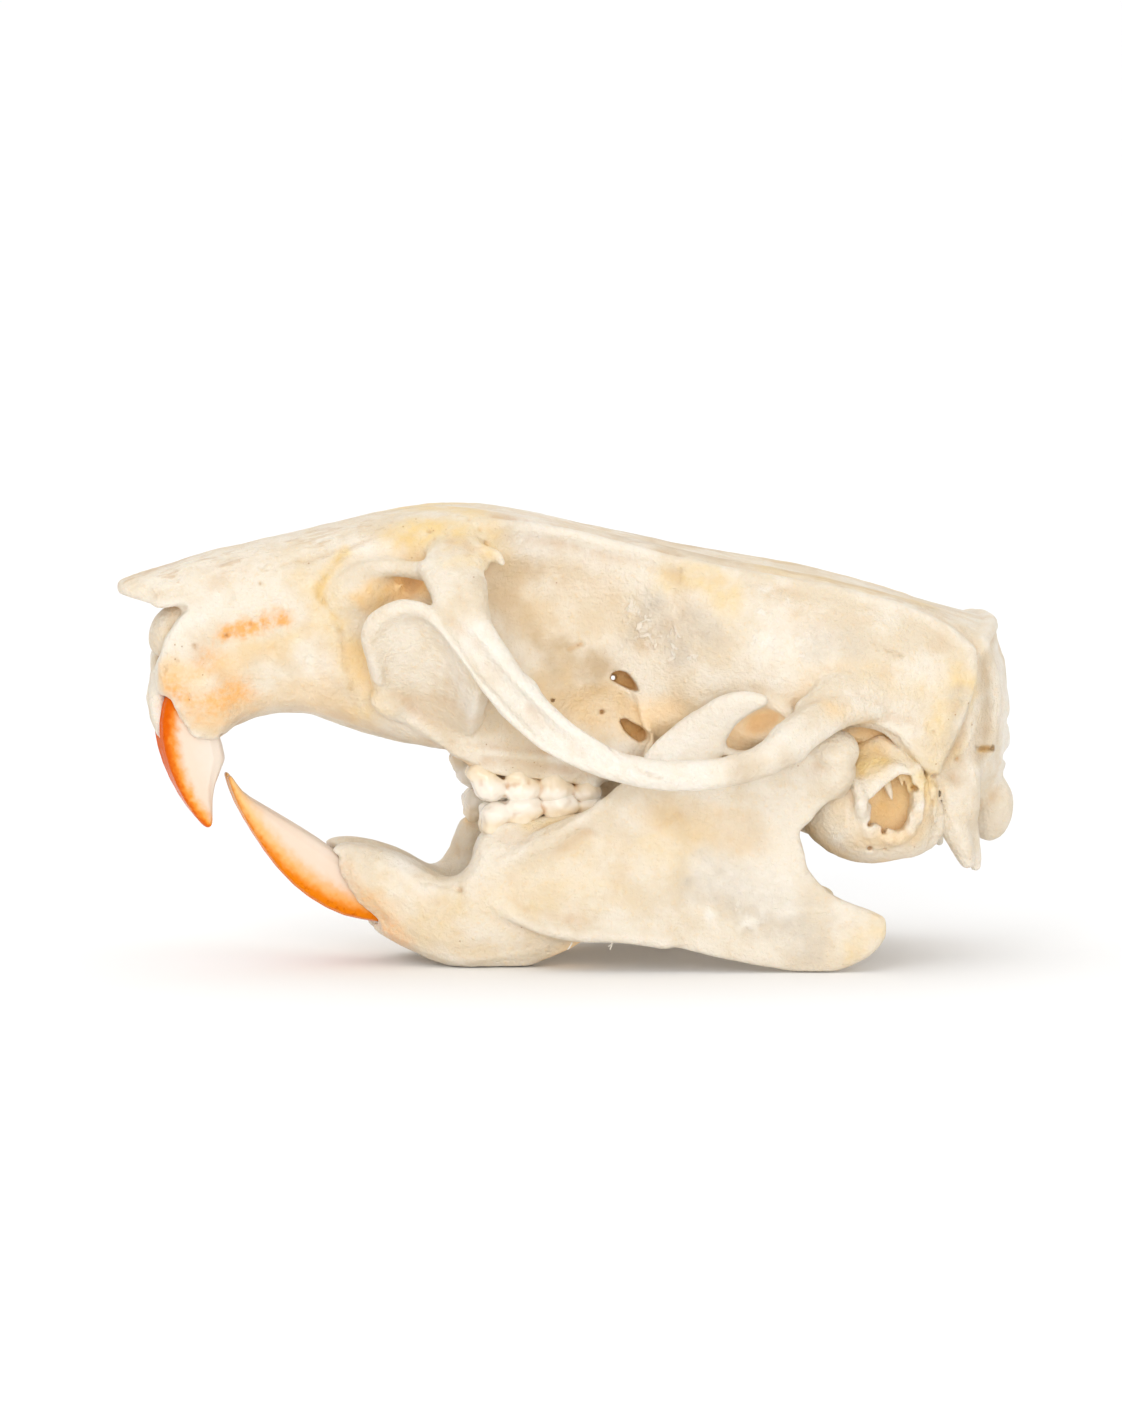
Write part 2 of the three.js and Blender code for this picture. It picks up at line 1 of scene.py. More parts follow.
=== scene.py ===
import itertools
import math
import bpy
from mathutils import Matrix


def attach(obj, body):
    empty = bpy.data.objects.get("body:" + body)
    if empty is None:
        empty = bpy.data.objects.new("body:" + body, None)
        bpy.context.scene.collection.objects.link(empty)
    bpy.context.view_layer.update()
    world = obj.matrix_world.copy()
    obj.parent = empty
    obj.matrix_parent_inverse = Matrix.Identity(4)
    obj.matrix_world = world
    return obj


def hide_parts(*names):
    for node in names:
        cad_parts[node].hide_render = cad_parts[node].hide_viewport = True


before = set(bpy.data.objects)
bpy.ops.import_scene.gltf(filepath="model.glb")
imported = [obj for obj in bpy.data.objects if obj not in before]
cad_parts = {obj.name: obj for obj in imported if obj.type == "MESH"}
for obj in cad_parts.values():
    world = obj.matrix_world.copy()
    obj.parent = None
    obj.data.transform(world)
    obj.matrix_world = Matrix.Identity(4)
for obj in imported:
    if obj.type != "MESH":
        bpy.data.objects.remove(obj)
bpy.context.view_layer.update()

from concurrent.futures import ThreadPoolExecutor

import bmesh
import bpy
import numpy as np
import openvdb
from mathutils import Vector

# Lengths in the tables are millimetres. A place is written x, w, z, where w is the
# distance from the midline, so that one place serves both sides of the skull.
mm = 0.001
nearSide = -1
farSide = 1
bothSides = (nearSide, farSide)
sideWords = {"left": nearSide, "right": farSide}

coarse = 1.0
fieldSettings = {
    "skullVoxel": 0.12 * coarse,
    "jawVoxel": 0.11 * coarse,
    "capsuleVoxel": 0.1 * coarse,
    "toothVoxel": 0.06 * coarse,
    "molarVoxel": 0.055 * coarse,
    "bandVoxels": 9,
    "meshBand": 3.0,
    "margin": 1.3,
    "featureRoom": 0.4,
    "mostTriangles": 190000,
    "workers": 4,
    "slabs": 12,
    "roughSeed": 11,
    "swellSeed": 7,
}
# Layers of noise: share of the size, then weight
noiseSettings = {
    "cells": 32,
    "shift": (7.3, 3.1, 5.7),
    "layers": ((1.0, 0.57), (0.47, 0.28), (0.23, 0.15)),
}


def placesOf(mesh):
    points = np.zeros(len(mesh.vertices) * 3, np.float32)
    mesh.vertices.foreach_get("co", points)
    return points.reshape(-1, 3) / mm


def nodeMesh(name):
    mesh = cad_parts[name].data
    mesh.calc_loop_triangles()
    corners = np.zeros(len(mesh.loop_triangles) * 3, np.int32)
    mesh.loop_triangles.foreach_get("vertices", corners)
    return placesOf(mesh), corners.reshape(-1, 3).astype(np.uint32)


def smoothStep(low, high, value):
    t = np.clip((value - low) / (high - low), 0, 1)
    return t * t * (3 - 2 * t)


def smoothMin(a, b, blend):
    h = np.maximum(blend - np.abs(a - b), 0) / blend
    return np.minimum(a, b) - h * h * (blend / 4)


def smoothMax(a, b, blend):
    return -smoothMin(-a, -b, blend)


def blurredSlab(values, weights, axis, target, share):
    radius = len(weights) // 2
    room = [(radius, radius) if k == axis else (0, 0) for k in range(3)]
    wide = np.pad(values[share], room, mode="edge")
    total = np.zeros_like(values[share])
    part = [slice(None)] * 3
    for k, weight in enumerate(weights):
        part[axis] = slice(k, k + values.shape[axis])
        total += weight * wide[tuple(part)]
    target[share] = total


# Soft copy of a field, made in several slabs at a time
def blurred(values, sigma):
    radius = max(1, int(math.ceil(2.5 * sigma)))
    weights = np.exp(-0.5 * (np.arange(-radius, radius + 1) / sigma) ** 2)
    weights = (weights / weights.sum()).astype(np.float32)
    with ThreadPoolExecutor(fieldSettings["workers"]) as pool:
        for axis in range(3):
            across = 1 if axis == 0 else 0
            edges = np.linspace(0, values.shape[across], fieldSettings["slabs"] + 1).astype(int)
            target = np.empty_like(values)
            jobs = []
            for first, last in zip(edges[:-1], edges[1:]):
                share = tuple(slice(first, last) if k == across else slice(None) for k in range(3))
                jobs.append(pool.submit(blurredSlab, values, weights, axis, target, share))
            for job in jobs:
                job.result()
            values = target
    return values


# Value inside a cell of a lattice, from the cell's eight corners
def betweenCorners(values, cell, part):
    total = 0
    for corner in itertools.product((0, 1), repeat=3):
        share = 1
        for far, t in zip(corner, part):
            share = share * (t if far else 1 - t)
        place = tuple((k + far) % n for k, far, n in zip(cell, corner, values.shape))
        total = total + share * values[place]
    return total


def latticeNoise(x, y, z, size, seed):
    count = noiseSettings["cells"]
    lattice = np.random.default_rng(seed).uniform(-1, 1, (count, count, count)).astype(np.float32)
    shifted = [v / size + shift for v, shift in zip((x, y, z), noiseSettings["shift"])]
    shifted = np.broadcast_arrays(*shifted)
    cell = [np.floor(v).astype(int) for v in shifted]
    part = [smoothStep(0, 1, v - c) for v, c in zip(shifted, cell)]
    return betweenCorners(lattice, cell, part)


def layeredNoise(x, y, z, size, seed):
    total = 0
    for number, (share, weight) in enumerate(noiseSettings["layers"]):
        total = total + weight * latticeNoise(x, y, z, size * share, seed + number)
    return total


def pathDistance(x, y, z, path, sizes):
    best = None
    path = np.array(path, np.float32)
    for k in range(len(path) - 1):
        a, d = path[k], path[k + 1] - path[k]
        dx, dy, dz = x - a[0], y - a[1], z - a[2]
        along = np.clip((dx * d[0] + dy * d[1] + dz * d[2]) / max(float(d @ d), 1e-9), 0, 1)
        gap = np.sqrt((dx - along * d[0]) ** 2 + (dy - along * d[1]) ** 2 + (dz - along * d[2]) ** 2)
        gap = gap - (sizes[k] + along * (sizes[k + 1] - sizes[k]))
        best = gap if best is None else np.minimum(best, gap)
    return best


def ballDistance(x, y, z, centre, radii, turn):
    dx, dy, dz = x - centre[0], y - centre[1], z - centre[2]
    c, s = math.cos(math.radians(turn)), math.sin(math.radians(turn))
    dx, dz = c * dx + s * dz, c * dz - s * dx
    near = np.sqrt((dx / radii[0]) ** 2 + (dy / radii[1]) ** 2 + (dz / radii[2]) ** 2)
    slope = np.sqrt((dx / radii[0] ** 2) ** 2 + (dy / radii[1] ** 2) ** 2 + (dz / radii[2] ** 2) ** 2)
    return near * (near - 1) / np.maximum(slope, 1e-6)


# Distance to a straight-sided hole with a drawn outline in x and z, from w low to w high
def outlineDistance(x, y, z, outline, depth, side):
    outline = np.array(outline, np.float32)
    best = np.full(np.broadcast(x, z).shape, 1e9, np.float32)
    inside = np.zeros(best.shape, bool)
    for k in range(len(outline)):
        a, b = outline[k - 1], outline[k]
        dx, dz = b - a
        along = np.clip(((x - a[0]) * dx + (z - a[1]) * dz) / (dx * dx + dz * dz), 0, 1)
        best = np.minimum(best, (x - a[0] - along * dx) ** 2 + (z - a[1] - along * dz) ** 2)
        crosses = (a[1] > z) != (b[1] > z)
        inside ^= crosses & (x < dx * (z - a[1]) / (dz if dz else 1e-9) + a[0])
    flat = np.where(inside, -1, 1) * np.sqrt(best)
    w = y * side
    return np.maximum(flat, np.maximum(depth[0] - w, w - depth[1]))


# Smooth line through the places of a path
def curved(path, steps=6):
    path = np.array(path, float)
    ends = np.vstack([2 * path[0] - path[1], path, 2 * path[-1] - path[-2]])
    places = []
    for a, b, c, d in zip(ends, ends[1:], ends[2:], ends[3:]):
        bend = 2 * a - 5 * b + 4 * c - d
        twist = 3 * b - a - 3 * c + d
        for t in np.arange(steps) / steps:
            places.append(0.5 * (2 * b + (c - a) * t + bend * t**2 + twist * t**3))
    places.append(path[-1])
    return np.array(places)


def onSide(path, side):
    path = np.array(path, float)
    path[..., 1] *= side
    return path


# Rows for the tables of features: each adds or takes away bone along a line, round a spot
# or inside a drawn outline
def ridge(path, size, blend, **more):
    return {"act": "raise", "path": path, "size": size, "blend": blend, **more}


def groove(path, size, blend, **more):
    return {"act": "dig", "path": path, "size": size, "blend": blend, **more}


def lump(ball, size, blend, **more):
    return {"act": "raise", "ball": ball, "size": size, "blend": blend, **more}


def dent(ball, size, blend, **more):
    return {"act": "dig", "ball": ball, "size": size, "blend": blend, **more}


def hole(outline, depth, blend, **more):
    return {"act": "dig", "outline": outline, "depth": depth, "blend": blend, **more}


class BoneField:
    def __init__(self, low, high, voxel):
        self.voxel = voxel
        self.low = np.array(low, np.float32)
        self.shape = tuple(int(n) for n in np.ceil((np.array(high) - self.low) / voxel) + 1)
        self.axes = [
            (self.low[k] + voxel * np.arange(self.shape[k])).astype(np.float32) for k in range(3)
        ]
        self.values = np.full(self.shape, fieldSettings["bandVoxels"] * voxel, np.float32)
        self.parts = {}
        self.soft = []

    def read(self, points, triangles):
        band = fieldSettings["bandVoxels"]
        grid = openvdb.FloatGrid.createLevelSetFromPolygons(
            (points - self.low) / self.voxel,
            triangles=triangles,
            transform=openvdb.createLinearTransform(1.0),
            halfWidth=band,
        )
        values = np.full(self.shape, band, np.float32)
        grid.copyToArray(values, ijk=(0, 0, 0))
        return values * self.voxel

    def grid(self):
        x, y, z = self.axes
        return x[:, None, None], y[None, :, None], z[None, None, :]

    def around(self, places, reach):
        places = np.atleast_2d(places)
        spans = []
        for k in range(3):
            first = int((places[:, k].min() - reach - self.low[k]) / self.voxel)
            last = int((places[:, k].max() + reach - self.low[k]) / self.voxel) + 2
            spans.append(slice(max(first, 0), max(min(last, self.shape[k]), 1)))
        x, y, z = (self.axes[k][spans[k]] for k in range(3))
        return tuple(spans), x[:, None, None], y[None, :, None], z[None, None, :]

    # Evens out the facets of broad parts and leaves thin parts and edges nearly as they are
    def settle(self, detail):
        light = blurred(self.values, detail["fine"] / self.voxel) - detail["thinGrow"]
        heavy = blurred(self.values, detail["broad"] / self.voxel)
        lean = blurred(heavy, detail["broad"] / self.voxel) - self.values
        thin = smoothStep(detail["thinFrom"], detail["thinTo"], lean)
        self.values = heavy + (light - heavy) * thin

    def finish(self, detail):
        self.values = blurred(self.values, detail["finish"] / self.voxel)

    def carve(self, features, sides=bothSides):
        for feature in features:
            for side in feature.get("sides", sides):
                self.carveOne(feature, side)

    def carveOne(self, feature, side):
        blend = feature["blend"]
        room = blend + fieldSettings["featureRoom"]
        rough = feature.get("rough", 0)
        if "path" in feature:
            path = curved(onSide(feature["path"], side))
            sizes = feature["size"]
            sizes = [sizes, sizes] if np.isscalar(sizes) else sizes
            sizes = np.interp(np.linspace(0, 1, len(path)), np.linspace(0, 1, len(sizes)), sizes)
            span, x, y, z = self.around(path, float(max(sizes)) + room)
            away = pathDistance(x, y, z, path, sizes)
        elif "outline" in feature:
            rim = [[a, w * side, b] for a, b in feature["outline"] for w in feature["depth"]]
            span, x, y, z = self.around(rim, room)
            away = outlineDistance(x, y, z, feature["outline"], feature["depth"], side)
        else:
            centre = onSide(feature["ball"], side)
            span, x, y, z = self.around(centre, max(feature["size"]) + room)
            away = ballDistance(x, y, z, centre, feature["size"], feature.get("turn", 0))
        if rough:
            seed = fieldSettings["roughSeed"] + int(side)
            away = away + rough * layeredNoise(x, y, z, feature.get("grain", 0.9), seed)
        if feature["act"] == "raise":
            self.values[span] = smoothMin(self.values[span], away, blend)
        else:
            self.values[span] = smoothMax(self.values[span], -away, blend)

    def sample(self, values, places):
        g = (places - self.low) / self.voxel
        cell = np.clip(np.floor(g).astype(int), 0, np.array(self.shape) - 2)
        return betweenCorners(values, cell.T, (g - cell).T)

    # Closed mesh at the bone's surface, without loose crumbs
    def surface(self, name, wholeOnly=True, uneven=0.0, grain=1.3):
        band = fieldSettings["meshBand"]
        grid = openvdb.FloatGrid(band)
        grid.copyFromArray(np.clip(self.values / self.voxel, -band, band), ijk=(0, 0, 0), tolerance=0.0)
        points, quads = grid.convertToQuads(isovalue=0.0)
        points = (self.low + points * self.voxel).astype(np.float32)
        quads = quads.astype(np.int64)
        if wholeOnly:
            points, quads = largestShell(points, quads)
        piece = meshPiece(name, points, quads)
        if uneven:
            facing = np.zeros(points.size, np.float32)
            piece.data.vertex_normals.foreach_get("vector", facing)
            swell = layeredNoise(*points.T, grain, fieldSettings["swellSeed"])[:, None]
            points = points + uneven * swell * facing.reshape(-1, 3)
            piece.data.vertices.foreach_set("co", (points * mm).astype(np.float32).ravel())
            piece.data.update()
        triangles = 2 * len(quads)
        if triangles > fieldSettings["mostTriangles"]:
            thinOut(piece, fieldSettings["mostTriangles"] / triangles)
        print("surface", name, triangles, "->", sum(len(p.vertices) - 2 for p in piece.data.polygons))
        return piece


def placed(name, data):
    made = bpy.data.objects.new(name, data)
    bpy.context.scene.collection.objects.link(made)
    return made


def meshPiece(name, points, faces):
    mesh = bpy.data.meshes.new(name)
    mesh.vertices.add(len(points))
    mesh.vertices.foreach_set("co", (points * mm).astype(np.float32).ravel())
    mesh.loops.add(faces.size)
    mesh.loops.foreach_set("vertex_index", faces.ravel().astype(np.int32))
    mesh.polygons.add(len(faces))
    starts = np.arange(0, faces.size, faces.shape[1]).astype(np.int32)
    mesh.polygons.foreach_set("loop_start", starts)
    mesh.update(calc_edges=True)
    mesh.shade_smooth()
    return placed(name, mesh)


# One number for all the points of each connected shell
def shellLabels(count, faces):
    label = np.arange(count)
    while True:
        lowest = label[faces].min(1)
        fresh = label.copy()
        for k in range(faces.shape[1]):
            np.minimum.at(fresh, faces[:, k], lowest)
        fresh = fresh[fresh]
        fresh = fresh[fresh]
        if (fresh == label).all():
            return label
        label = fresh


def chosenPart(points, faces, chosen):
    place = np.cumsum(chosen) - 1
    return points[chosen], place[faces[chosen[faces[:, 0]]]]


def largestShell(points, faces):
    label = shellLabels(len(points), faces)
    names, counts = np.unique(label, return_counts=True)
    return chosenPart(points, faces, label == names[counts.argmax()])


# Field that holds the named parts of the frame
def nodeField(names, voxel):
    meshes = {name: nodeMesh(name) for name in names}
    corners = np.vstack([points for points, _ in meshes.values()])
    margin = fieldSettings["margin"]
    field = BoneField(corners.min(0) - margin, corners.max(0) + margin, voxel)
    field.parts = {name: field.read(*mesh) for name, mesh in meshes.items()}
    return field


# Fewer triangles, with the modifier's result as the piece's own mesh
def thinOut(piece, ratio):
    thin = piece.modifiers.new("thin", "DECIMATE")
    thin.ratio = ratio
    graph = bpy.context.evaluated_depsgraph_get()
    made = bpy.data.meshes.new_from_object(
        piece.evaluated_get(graph), preserve_all_data_layers=True, depsgraph=graph
    )
    old = piece.data
    piece.modifiers.clear()
    piece.data = made
    made.name = piece.name
    bpy.data.meshes.remove(old)
    made.shade_smooth()


def mark(piece, name, values):
    layer = piece.data.attributes.new(name, "FLOAT", "POINT")
    layer.data.foreach_set("value", np.asarray(values, np.float32))


# Shares of the close and the wide blur at which a place counts as crease, hollow or edge
hollowSettings = {"crease": 0.45, "hollow": 0.55, "edgeFrom": 0.05, "edgeTo": 0.7}


# How deep each place lies in a crease, how deep in a wider hollow, and how much it stands out
def hollowOn(field, places, close, wide):
    if not field.soft:
        first = blurred(field.values, close / field.voxel)
        field.soft = [first, blurred(first, math.sqrt(wide**2 - close**2) / field.voxel)]
    near, far = (field.sample(soft, places) for soft in field.soft)
    crease = smoothStep(0.0, hollowSettings["crease"] * close, -near)
    hollow = smoothStep(0.0, hollowSettings["hollow"] * wide, -far)
    edge = smoothStep(hollowSettings["edgeFrom"] * close, hollowSettings["edgeTo"] * close, near)
    return crease, hollow, edge


# Short calls for the nodes of groups and materials
class NodeSheet:
    def __init__(self, tree):
        self.tree = tree

    def feed(self, socket, value):
        if isinstance(value, bpy.types.NodeSocket):
            self.tree.links.new(value, socket)
        else:
            socket.default_value = value

    def add(self, kind, settings=(), **inputs):
        node = self.tree.nodes.new(kind)
        for key, value in dict(settings).items():
            setattr(node, key, value)
        for key, value in inputs.items():
            self.feed(node.inputs[key.replace("_", " ")], value)
        return node

    def math(self, operation, *values, kind="ShaderNodeMath"):
        node = self.add(kind, {"operation": operation})
        for socket, value in zip(node.inputs, values):
            self.feed(socket, value)
        return node.outputs[0]

    def times(self, first, second):
        return self.math("MULTIPLY", first, second)

    def ranged(self, value, low, high, toLow=0.0, toHigh=1.0):
        ends = {"From_Min": low, "From_Max": high, "To_Min": toLow, "To_Max": toHigh}
        node = self.add("ShaderNodeMapRange", {"interpolation_type": "SMOOTHSTEP"}, Value=value, **ends)
        return node.outputs["Result"]

    def mix(self, amount, first, second):
        node = self.add("ShaderNodeMix", {"data_type": "RGBA", "clamp_factor": True})
        for number, value in ((0, amount), (6, first), (7, second)):
            self.feed(node.inputs[number], value)
        return node.outputs[2]

    def tint(self, colour, amount, share, tone):
        return self.mix(self.times(amount, share), colour, tone)

    def noise(self, place, **shape):
        return self.add("ShaderNodeTexNoise", Vector=place, **shape).outputs

    def group(self, tree, **inputs):
        return self.add("ShaderNodeGroup", {"node_tree": tree}, **inputs).outputs

    def markOf(self, name):
        return self.add("ShaderNodeAttribute", {"attribute_name": name}).outputs["Fac"]

    def bump(self, height, strength, depth):
        node = self.add("ShaderNodeBump", Height=height, Strength=strength, Distance=depth * mm)
        return node.outputs["Normal"]


socketKinds = {"Place": "NodeSocketVector", "Geometry": "NodeSocketGeometry", "Seed": "NodeSocketInt"}


def newGroup(name, inputs, outputs, kind="ShaderNodeTree"):
    tree = bpy.data.node_groups.new(name, kind)
    for way, names in (("INPUT", inputs), ("OUTPUT", outputs)):
        for socket in names:
            form = socketKinds.get(socket, "NodeSocketFloat")
            made = tree.interface.new_socket(name=socket, in_out=way, socket_type=form)
            if way == "INPUT" and inputs[socket] is not None:
                made.default_value = inputs[socket]
    sheet = NodeSheet(tree)
    return sheet, sheet.add("NodeGroupInput").outputs, sheet.add("NodeGroupOutput").inputs


effectSettings = {
    "grainBroad": 0.35,  # share of the grain's scale
    "grainFine": 4.0,
    "grainBroadHeight": 0.7,
    "fleckLift": 0.14,
    "crackBends": 1500.0,
    "crackSway": 0.0012,
    "crackPatches": 700.0,
    "streakScale": 3800.0,
    "streakDraw": (0.1, 1.0, 1.0),
}


# Fine grain of the bone: a tone that wanders, specks and a height for the bump
def grainGroup():
    inputs = {"Place": None, "Scale": 1000.0}
    sheet, given, result = newGroup("boneGrain", inputs, ("Tone", "Speck", "Height"))
    broadScale = sheet.times(given["Scale"], effectSettings["grainBroad"])
    fineScale = sheet.times(given["Scale"], effectSettings["grainFine"])
    broad = sheet.noise(given["Place"], Scale=broadScale, Detail=7.0, Roughness=0.62)[0]
    fine = sheet.noise(given["Place"], Scale=fineScale, Detail=4.0, Roughness=0.65)[0]
    sheet.feed(result["Tone"], sheet.ranged(broad, low=0.4, high=0.6))
    sheet.feed(result["Speck"], sheet.ranged(fine, low=0.52, high=0.72))
    height = sheet.math("MULTIPLY_ADD", broad, effectSettings["grainBroadHeight"], fine)
    sheet.feed(result["Height"], height)
    return sheet.tree


# A mark's strength, broken up so that it fades unevenly: for real stains and for painted shade and light
def mottleGroup():
    inputs = {"Place": None, "Strength": 0.0, "Scale": 900.0, "Break": 0.6}
    sheet, given, result = newGroup("mottle", inputs, ("Amount",))
    noise = sheet.noise(given["Place"], Scale=given["Scale"], Detail=4.0)[0]
    shift = sheet.times(sheet.math("SUBTRACT", noise, 0.5), given["Break"])
    amount = sheet.math("MULTIPLY_ADD", shift, given["Strength"], given["Strength"])
    sheet.feed(result["Amount"], amount)
    return sheet.tree


# Crisp flecks and short veins inside a stain
def fleckGroup():
    inputs = {"Place": None, "Strength": 0.0, "Scale": 2400.0}
    sheet, given, result = newGroup("flecks", inputs, ("Amount",))
    shape = {"Detail": 4.0, "Roughness": 0.6, "Distortion": 0.8}
    noise = sheet.noise(given["Place"], Scale=given["Scale"], **shape)[0]
    lift = sheet.math("MULTIPLY_ADD", given["Strength"], effectSettings["fleckLift"], noise)
    share = sheet.ranged(lift, low=0.64, high=0.72)
    sheet.feed(result["Amount"], sheet.times(share, given["Strength"]))
    return sheet.tree


# Thin crooked cracks that come and go
def crackGroup():
    inputs = {"Place": None, "Strength": 0.0, "Scale": 520.0, "Width": 0.025}
    sheet, given, result = newGroup("cracks", inputs, ("Crack",))
    bend = sheet.noise(given["Place"], Scale=effectSettings["crackBends"], Detail=4.0)["Color"]
    sway = [effectSettings["crackSway"]] * 3
    place = sheet.math("MULTIPLY_ADD", bend, sway, given["Place"], kind="ShaderNodeVectorMath")
    edges = {"feature": "DISTANCE_TO_EDGE"}
    cells = sheet.add("ShaderNodeTexVoronoi", edges, Vector=place, Scale=given["Scale"])
    line = sheet.math("LESS_THAN", cells.outputs["Distance"], given["Width"])
    shown = sheet.noise(given["Place"], Scale=effectSettings["crackPatches"], Detail=2.0)[0]
    part = sheet.times(line, sheet.ranged(shown, low=0.5, high=0.6))
    sheet.feed(result["Crack"], sheet.times(part, given["Strength"]))
    return sheet.tree


# Scattered pin-point pores
def poreGroup():
    inputs = {"Place": None, "Scale": 900.0, "Share": 0.3, "Size": 0.16}
    sheet, given, result = newGroup("pores", inputs, ("Pore",))
    cells = sheet.add("ShaderNodeTexVoronoi", Vector=given["Place"], Scale=given["Scale"]).outputs
    near = sheet.math("LESS_THAN", cells["Distance"], given["Size"])
    tone = sheet.add("ShaderNodeSeparateColor", Color=cells["Color"]).outputs[0]
    chosen = sheet.math("LESS_THAN", tone, given["Share"])
    sheet.feed(result["Pore"], sheet.times(near, chosen))
    return sheet.tree


# Fine streaks that run from front to back
def streakGroup():
    sheet, given, result = newGroup("streaks", {"Place": None, "Strength": 0.0}, ("Height",))
    drawn = sheet.add("ShaderNodeMapping", Vector=given["Place"], Scale=effectSettings["streakDraw"])
    noise = sheet.noise(drawn.outputs[0], Scale=effectSettings["streakScale"], Detail=3.0)[0]
    sheet.feed(result["Height"], sheet.times(noise, given["Strength"]))
    return sheet.tree


print("shared effects")
grainTree = grainGroup()
mottleTree = mottleGroup()
fleckTree = fleckGroup()
crackTree = crackGroup()
poreTree = poreGroup()
streakTree = streakGroup()


def toned(red, green, blue):
    parts = [v / 255 for v in (red, green, blue)]
    return [v / 12.92 if v <= 0.04045 else ((v + 0.055) / 1.055) ** 2.4 for v in parts] + [1.0]


def plainShader(material, values):
    material.use_nodes = True
    shader = material.node_tree.nodes["Principled BSDF"].inputs
    for socket, value in values.items():
        shader[socket].default_value = value
    return shader


# A new material with the bone's grain laid over the piece's own coordinates
def newLook(name, values):
    material = bpy.data.materials.new(name)
    shader = plainShader(material, values)
    sheet = NodeSheet(material.node_tree)
    place = sheet.add("ShaderNodeTexCoord").outputs["Object"]
    return material, sheet, shader, place, sheet.group(grainTree, Place=place)


